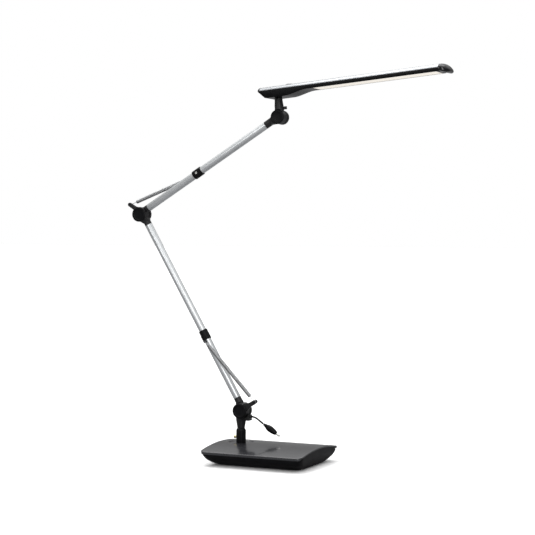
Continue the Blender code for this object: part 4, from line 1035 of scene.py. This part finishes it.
def lights():
    """A wide overhead sun, a tall strip beside the camera, a small front light and the surround."""
    data = bpy.data.lights.new("overhead", "SUN")
    data.energy = 2.0
    data.angle = math.radians(60)
    added("overhead", data).rotation_euler = (math.radians(-12), math.radians(-10), 0)
    softbox("strip", (1.5, -2.4, 1.1), (0, 0, 0.35), 30, (0.7, 2.2))
    softbox("front", (-0.9, -2.9, 1.3), (-0.1, 0, 0.35), 14, (1.0, 1.0))
    surround()


# ---- assembly ----
def hidden_pieces():
    """Give the CAD pieces their looks, for those that nothing replaces."""
    for node, piece in frame["nodes"].items():
        piece.data.materials.clear()
        piece.data.materials.append(SLOT_LOOKS[SLOT_OF[node]])


def mast_head():
    """The mast's fork with the cord's outlet, on its turned foot, and its caps."""
    post_top, post_foot, radius = -12 * MM, SLEEVE_TOP + GAP - LOWER_AT.z, 8.5 * MM
    post = [(0, post_top), (radius, post_top), (radius, -17.2 * MM), (SLEEVE_RADIUS - 2 * MM, post_foot),
            (0, post_foot)]
    outlet = box("outlet", mm(11, 12, 10), MAST @ shift(OUTLET_FACE - 5.5 * MM, 3 * MM, 74 * MM))
    exit_at = MAST @ shift(0, *CORD_EXIT) @ turn(90, "Y")
    bores = [rod("pin_bore", PIN_RADIUS + GAP, 0, 66.4 * MM, MAST),
             rod("cable_bore", CORD_RADIUS + 0.5 * MM, 12 * MM, 20 * MM, exit_at)]
    fork("mast_head_casting", "mast_head", LOWER_HINGE, ARM_CHEEK, (radius, 17 * MM, MAST_AT.x - LOWER_AT.x),
         post, -1, 0, [outlet], bores)
    hinge_caps("lower_hinge", LOWER_HINGE, ARM_CHEEK)


def arm(prefix, place, tube, offset):
    """An arm's foot in its hinge, and its tube."""
    knuckle(f"{prefix}_arm_foot_casting", f"{prefix}_arm_foot", place, ARM_CHEEK - KNUCKLE_INSET,
            upper_plug(ARM_CHEEK + SHOULDER, tube[0]), offset, 5.6 * MM)
    arm_tube(f"{prefix}_tube_drawn", f"{prefix}_tube", place, tube, offset)


def lower_arm():
    """The lower arm, from its foot to the elbow's fork."""
    arm("lower", LOWER_ARM, LOWER_TUBE, TUBE_OFFSET)
    collar("lower_collar_moulded", "lower_collar", LOWER_ARM, TUBE_OFFSET, 146.5 * MM, mm(-8.6, -1),
           mm(-14.3, -1), -1)
    spring("lower_spring", LOWER_HINGE, LOWER_ARM, TUBE_OFFSET, -1)
    fork("elbow_fork_casting", "elbow_fork", ELBOW, ARM_CHEEK, (TUBE_RADIUS, THROAT, TUBE_OFFSET),
         lower_plug(NECK_TOP, LOWER_LENGTH - LOWER_TUBE[1]), 1, LOWER_LEAN)
    hinge_caps("elbow", ELBOW, ARM_CHEEK)


def upper_arm():
    """The upper arm, from its foot to the fork under the head."""
    arm("upper", UPPER_ARM, UPPER_TUBE, -TUBE_OFFSET)
    collar("upper_collar_moulded", "upper_collar", UPPER_ARM, -TUBE_OFFSET, 133.8 * MM, mm(5.8, 8.8),
           mm(-1.6, 8.8), 1)
    spring("upper_spring", ELBOW, UPPER_ARM, -TUBE_OFFSET, 1)
    fork("head_fork_casting", "head_fork", HEAD_HINGE, HEAD_CHEEK, (TUBE_RADIUS, THROAT, -TUBE_OFFSET),
         lower_plug(NECK_TOP, UPPER_LENGTH - UPPER_TUBE[1]), 0, UPPER_LEAN)
    hinge_caps("head_hinge", HEAD_HINGE, HEAD_CHEEK)


def neck():
    """The head's neck with its stop tab and the pin that the head turns on."""
    top, foot, pin, post = NECK_LENGTH + HEAD_DEEP - GAP, HEAD_CHEEK + SHOULDER, 4.1 * MM, 7.6 * MM
    profile = [(0, top + 8 * MM), (3.7 * MM, top + 8 * MM), (pin, top + 7.6 * MM), (pin, top),
               (6.6 * MM, top), (6.9 * MM, top - 6 * MM), (post, 20 * MM), (post, foot), (0, foot)]
    stop_tab = box("stop_tab", mm(6.4, 3.4, 5), NECK @ shift(9 * MM, 3.5 * MM, 15.2 * MM))
    knuckle("neck_casting", "neck", NECK, HEAD_CHEEK - KNUCKLE_INSET, profile, 0, 6.5 * MM, [stop_tab])


for build in (camera, pigtail, hidden_pieces, base_cover, base_tray, base_pad, mast_sleeve, mast_head,
              lower_arm, upper_arm, neck, head_frame, head_cover, diffuser, end_cap, button, floor, lights):
    build()
